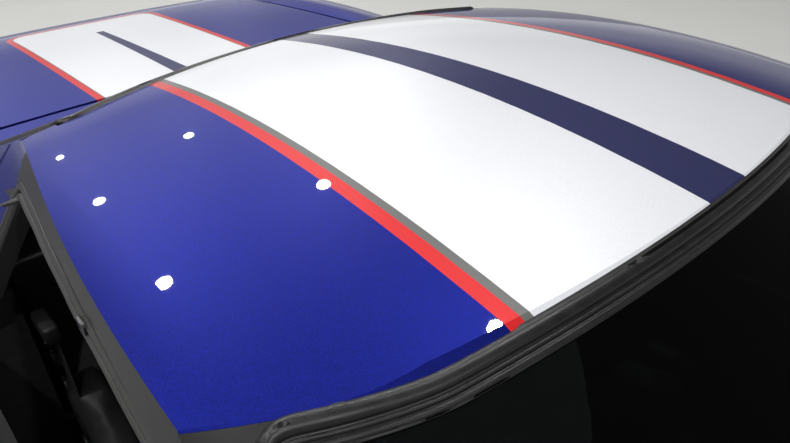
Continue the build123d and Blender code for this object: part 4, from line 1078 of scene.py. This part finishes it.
# Lamps
# Each front lamp is a clear moulded lens over a bright bowl with two round projectors. The four tail lamps
# are ribbed red lenses in black cups.
clear_lens = Finish(
    "clear lamp lens", Base_Color=(0.95, 0.96, 0.97), Roughness=0.0, IOR=1.40, Transmission_Weight=1.0
).material
red_lens = Finish("red lamp lens", IOR=1.45, Coat_Weight=1.0, Coat_Roughness=0.02)
_, lens_y, lens_z = red_lens.place()
ribs = lens_z.wave(0.006) * lens_y.wave(0.006)
red_lens = red_lens.set(
    Base_Color=red_lens.blend(ribs, (0.20, 0.002, 0.003), (0.42, 0.008, 0.008)), Roughness=0.22,
    Normal=red_lens.bump(ribs, 0.6, 0.0012)
)
bowl_chrome = Finish("aluminised bowl", Base_Color=(0.70, 0.71, 0.72), Metallic=1.0, Roughness=0.14).material
dress(["front_lamps"], clear_lens)
dress(["tail_lamps"], red_lens)
dress(["front_lamp_cups"], bowl_chrome)
dress(["tail_lamp_cups"], trim_black)
projector_glass = Finish(
    "projector glass", Base_Color=(0.62, 0.65, 0.70), Roughness=0.04, Metallic=0.4
).material
for side, hand in SIDES:
    barrels, eyes = [], []
    for x_at, y_at, z_at, radius in ((2.012, 0.640, 0.545, 0.030), (2.045, 0.556, 0.535, 0.028)):
        y_at *= side
        barrels.append(add_bar((x_at - 0.030, y_at, z_at - 0.004), (x_at, y_at, z_at), radius, 40, 0.003))
        eyes.append(add_ball((x_at - radius * 0.3, y_at, z_at), radius * 0.82))
        bpy.ops.object.transform_apply()
    settled(f"projector_barrels_{hand}", chrome, parts=barrels)
    settled(f"projector_eyes_{hand}", projector_glass, parts=eyes)


# Grilles, plate recess and small outer fittings
# The nose openings are closed by black moulded grilles with cross bars. Amber side markers sit in the bumper
# ends. The plate recess behind stays bare. The wipers lie parked on the glass above the cowl.
dress(["grilles", "cowl_panel"], black_plastic)


def met_from(direction, names):
    """A drop function: the named nodes' skin as met by a ray that flies along a direction."""
    aim = Vector(direction)

    def drop(spot):
        for reach in (0.0, 0.004, 0.008, 0.014, 0.022, 0.035):
            for right, up in ((0, 0), (0, 1), (0, -1), (1, 0), (-1, 0)):
                shift = Vector((right * reach, up * reach))
                moved = spot + shift
                if aim.x:
                    start = Vector((-3.0 * aim.x, moved[0], moved[1]))
                    back = Vector((0.0, shift[0], shift[1]))
                elif aim.y:
                    start = Vector((moved[0], -1.5 * aim.y, moved[1]))
                    back = Vector((shift[0], 0.0, shift[1]))
                else:
                    start = Vector((moved[0], moved[1], 2.0))
                    back = Vector((shift[0], shift[1], 0.0))
                found = skin_met([nodes[name] for name in names], start, aim)
                if found and found[1].dot(-aim) > 0.25:
                    return found[0] - back, found[1]
        raise ValueError(f"nothing of {names} lies at {tuple(spot)}")

    return drop


def front_lay(across):
    """A direction across the car as seen from its front, as a direction in space."""
    return Vector((0.0, across[0], across[1]))


BAR_SECTION = [(-2.2, -0.3), (-1.9, 1.4), (-1.0, 2.4), (0.0, 2.7), (1.0, 2.4), (1.9, 1.4), (2.2, -0.3)]
onto_grille = met_from((-1, 0, 0), ["grilles"])
for name, low_y, high_y, low_z, high_z in (
    ("middle", -0.370, 0.370, 0.264, 0.340),
    ("left", 0.459, 0.651, 0.269, 0.335),
    ("right", -0.651, -0.459, 0.269, 0.335),
):
    bars = []
    for number in range(5):
        z_at = low_z + (high_z - low_z) * number / 4
        bars.append(add_straight([(low_y, z_at), (high_y, z_at)], 0.02, BAR_SECTION, onto_grille, front_lay))
    count = round((high_y - low_y) / 0.032)
    for number in range(count + 1):
        y_at = low_y + (high_y - low_y) * number / count
        bars.append(add_straight([(y_at, low_z), (y_at, high_z)], 0.02, BAR_SECTION, onto_grille, front_lay))
    settled(f"grille_bars_{name}", black_plastic, smooth=50, parts=bars)

amber = Finish("amber marker lens", Coat_Weight=1.0, Coat_Roughness=0.02, IOR=1.45)
ribs = amber.place()[0].wave(0.004)
amber = amber.set(
    Base_Color=amber.blend(ribs, (0.50, 0.14, 0.01), (0.72, 0.26, 0.02)), Roughness=0.25,
    Normal=amber.bump(ribs, 0.5, 0.0008)
)
PATCH_SECTION = [(-11.0, -0.3), (-10.6, 1.4), (-9.4, 2.2), (-5.0, 2.6), (0.0, 2.8), (5.0, 2.6), (9.4, 2.2),
                 (10.6, 1.4), (11.0, -0.3)]
marker_table = [
    # name, low x, high x, z, nodes, finish
    ("front", 1.840, 1.940, 0.470, ["front_fascia", "front_fender_left", "front_fender_right"], amber),
    ("rear", -2.110, -2.010, 0.560, ["rear_fascia", "quarter_panel_left", "quarter_panel_right"], red_lens),
]
for side, hand in SIDES:
    for name, low_x, high_x, z_at, skins, finish in marker_table:
        onto_side = met_from((0, -side, 0), skins)
        add_straight([(low_x, z_at), (high_x, z_at)], 0.01, PATCH_SECTION, onto_side, side_lay)
        settled(f"side_marker_{name}_{hand}", finish, smooth=50)

SEAM_SECTION = [(-1.3, -0.2), (-1.2, 0.10), (0.0, 0.14), (1.2, 0.10), (1.3, -0.2)]
flap = []
for step in range(61):
    angle = 2 * math.pi * step / 60
    flap.append(Vector((-1.180 + 0.082 * math.cos(angle), 0.770 + 0.066 * math.sin(angle))))
add_moulding(flap, SEAM_SECTION, met_from((0, 0, -1), ["quarter_panel_left", "rear_fascia"]), flat_lay)
settled("fuel_flap_seam", trim_black, smooth=50)

BLADE_SECTION = [(-3.0, 0.3), (-3.4, 6.0), (-6.0, 8.0), (-6.0, 11.0), (0.0, 12.5), (6.0, 11.0), (6.0, 8.0),
                 (3.4, 6.0), (3.0, 0.3)]
ARM_SECTION = [(-6.0, 12.0), (-6.0, 17.0), (0.0, 19.0), (6.0, 17.0), (6.0, 12.0)]
onto_screen = met_from((0, 0, -1), ["windshield_glass", "windshield_frame", "cowl_panel"])
for name, ends, section, finish in (
    ("blade_left", [(0.560, 0.075), (0.508, 0.580)], BLADE_SECTION, black_rubber),
    ("arm_left", [(0.640, 0.500), (0.538, 0.330)], ARM_SECTION, trim_black),
    ("blade_right", [(0.560, -0.500), (0.560, 0.020)], BLADE_SECTION, black_rubber),
    ("arm_right", [(0.690, -0.020), (0.563, -0.240)], ARM_SECTION, trim_black),
):
    add_straight(ends, 0.02, section, onto_screen, flat_lay)
    settled(f"wiper_{name}", finish)


# Mirrors
# Painted shells stand over each door's shoulder and swing with the door. Each has a silvered glass in a thin
# black frame on its rear face.
for side, hand in SIDES:
    door = body_named(f"mirror_{hand}")
    rounded_copy(f"mirror_{hand}", f"mirror_shell_{hand}", blue_paint, 0.004)
    add_block((0.3262, side * 0.898, 0.889), (0.3312, side * 1.038, 0.981), 0.0022)
    settled(f"mirror_frame_{hand}", trim_black, door)
    add_block((0.3248, side * 0.904, 0.895), (0.3270, side * 1.032, 0.975), 0.001)
    silvered = Finish(f"silvered glass {hand}", Base_Color=(0.80, 0.82, 0.84), Metallic=1.0, Roughness=0.02)
    settled(f"mirror_glass_{hand}", silvered.material, door)


# Inner door handles, visors, inner mirror and belts
# A chromed pull and a ringed round speaker stand in each door's trim. Two cloth visors lie flat against the
# header, with the inner mirror between them. Each woven belt hangs from its guide on the pillar to its reel.
webbing = Finish("woven belt")
_, weave_y, weave_z = webbing.place()
weave = weave_z.wave(0.0022) * 0.6 + weave_y.wave(0.0018) * 0.4
webbing = webbing.set(
    Base_Color=webbing.blend(weave, (0.010, 0.010, 0.010), (0.030, 0.030, 0.030)), Roughness=0.75,
    Normal=webbing.bump(weave, 0.6, 0.0005)
)
for side, hand in SIDES:
    door = body_named(f"door_{hand}")
    pull = [
        add_block((0.180, side * 0.7265, 0.690), (0.290, side * 0.712, 0.722), 0.006, 3),
        add_bar((0.196, side * 0.716, 0.706), (0.278, side * 0.706, 0.706), 0.007, 20, 0.003),
    ]
    settled(f"door_pull_{hand}", chrome, door, parts=pull)
    rounds = [add_bar((0.270, side * 0.7275, 0.470), (0.270, side * 0.722, 0.470), 0.085, 48, 0.003)]
    for number in range(5):
        rounds.append(add_ring((0.270, side * 0.7215, 0.470), (math.pi / 2, 0, 0), 0.014 + 0.014 * number))
    settled(f"door_speaker_{hand}", black_plastic, door, parts=rounds)
    add_block((-0.100, side * 0.10, 1.118), (-0.010, side * 0.44, 1.132), 0.006, 3)
    settled(f"sun_visor_{hand}", headliner)
    strap_y = side * 0.618
    add_block((-0.702, strap_y, 0.300), (-0.656, strap_y + side * 0.0016, 0.862), 0.0006, 1)
    settled(f"belt_strap_{hand}", webbing)
    near, far = side * 0.612, side * 0.636
    guide = [
        add_block((-0.712, near, 0.852), (-0.646, far, 0.884), 0.006, 3),
        add_block((-0.730, near, 0.190), (-0.640, far, 0.310), 0.008, 3),
        add_block((-0.694, near, 0.560), (-0.664, far, 0.600), 0.004),
    ]
    settled(f"belt_guide_and_reel_{hand}", black_plastic, parts=guide)
inner_mirror = [
    add_block((0.020, -0.115, 1.058), (0.040, 0.115, 1.108), 0.008, 4),
    add_bar((0.036, 0.0, 1.090), (0.052, 0.0, 1.142), 0.006, 16, 0.001),
]
settled("inner_mirror", black_plastic, parts=inner_mirror)


# Floor and light
# A plain pale floor under a dim ceiling with small round lamps, and pale walls far off all round. The lamps
# light the flakes in the paint and show in its clear coat as small bright spots. A broad light from above
# fills the room evenly and shows in nothing.
bpy.ops.mesh.primitive_plane_add(size=400.0, location=(0.0, 0.0, -0.0005))
floor = bpy.context.object
floor.name = "floor"
pale_floor = Finish("pale floor", Roughness=0.6)
patch = pale_floor.noise(1.3, 3.0)
pale_floor.set(Base_Color=pale_floor.blend(patch, (0.56, 0.56, 0.54), (0.64, 0.64, 0.62)))
floor.data.materials.append(pale_floor.material)

WALL_TO_CEILING = [
    # height of the direction, brightness
    (0.0, 0.70),
    (0.08, 0.42),
    (0.20, 0.11),
    (0.42, 0.05),
    (1.0, 0.05),
]
world = bpy.data.worlds.new("studio")
bpy.context.scene.world = world
world.use_nodes = True
sky = world.node_tree
towards = sky.nodes.new("ShaderNodeTexCoord")
split = sky.nodes.new("ShaderNodeSeparateXYZ")
ramp = sky.nodes.new("ShaderNodeValToRGB")
ramp.color_ramp.interpolation = "EASE"
while len(ramp.color_ramp.elements) < len(WALL_TO_CEILING):
    ramp.color_ramp.elements.new(0.5)
for element, (height, brightness) in zip(ramp.color_ramp.elements, WALL_TO_CEILING):
    element.position = height
    element.color = (brightness, brightness, brightness, 1.0)
sky.links.new(towards.outputs["Generated"], split.inputs[0])
sky.links.new(split.outputs["Z"], ramp.inputs[0])
sky.links.new(ramp.outputs[0], sky.nodes["Background"].inputs["Color"])
LAMP_HEIGHT = 5.0
LAMP_ACROSS = 0.17
LAMP_POWER = 42.0


def add_light(name, kind, place, **settings):
    """A light of some kind at a place."""
    light = bpy.data.lights.new(name, kind)
    for setting, value in settings.items():
        setattr(light, setting, value)
    made = bpy.data.objects.new(name, light)
    bpy.context.scene.collection.objects.link(made)
    made.location = place
    return made


lamp_places = [
    (-4.4, 2.1), (-1.0, 1.65), (-4.3, -0.2), (-8.1, 0.2), (-9.7, 2.5), (-7.2, 5.3), (-12.8, 6.3),
    (-15.1, 1.0), (2.4, -2.2), (-1.0, -2.4), (-4.4, -3.4), (5.6, -0.4),
]
for number, (lamp_x, lamp_y) in enumerate(lamp_places):
    lamp = add_light(f"ceiling lamp {number}", "AREA", (lamp_x, lamp_y, LAMP_HEIGHT),
                     shape="DISK", size=LAMP_ACROSS, energy=LAMP_POWER)
    lamp.rotation_mode = "QUATERNION"
    lamp.rotation_quaternion = Vector((lamp_x, lamp_y, LAMP_HEIGHT - 1.0)).to_track_quat("Z", "Y")
soft_light = add_light("soft light", "SUN", (0.0, 0.0, 0.0), energy=1.7, angle=math.radians(70.0))
soft_light.visible_glossy = False


# Camera
# The photograph is taken from the front right, close above the windshield corner, looking to the rear left.
# The place, the direction and the lens were solved from the roof's edges and the windshield's moulding.
VIEW_PLACE = Vector((0.2661, -0.7321, 1.5614))
VIEW_AZIMUTH = math.radians(137.4548)
VIEW_PITCH = math.radians(32.9376)
VIEW_ROLL = math.radians(-0.412)
FOCAL_PIXELS = 639.9
IMAGE_WIDTH = 790
forward = Vector((
    math.cos(VIEW_PITCH) * math.cos(VIEW_AZIMUTH),
    math.cos(VIEW_PITCH) * math.sin(VIEW_AZIMUTH),
    -math.sin(VIEW_PITCH),
))
level_right = forward.cross(Vector((0.0, 0.0, 1.0))).normalized()
level_up = level_right.cross(forward)
view_right = level_right * math.cos(VIEW_ROLL) + level_up * math.sin(VIEW_ROLL)
view_up = level_up * math.cos(VIEW_ROLL) - level_right * math.sin(VIEW_ROLL)
camera_data = bpy.data.cameras.new("camera")
camera = bpy.data.objects.new("camera", camera_data)
bpy.context.scene.collection.objects.link(camera)
turn = Matrix((view_right, view_up, -forward)).transposed()
camera.matrix_world = Matrix.Translation(VIEW_PLACE) @ turn.to_4x4()
camera_data.sensor_width = 36.0
camera_data.lens = FOCAL_PIXELS * camera_data.sensor_width / IMAGE_WIDTH
camera_data.clip_start = 0.05
bpy.context.scene.camera = camera
bpy.context.scene.view_settings.view_transform = "Standard"
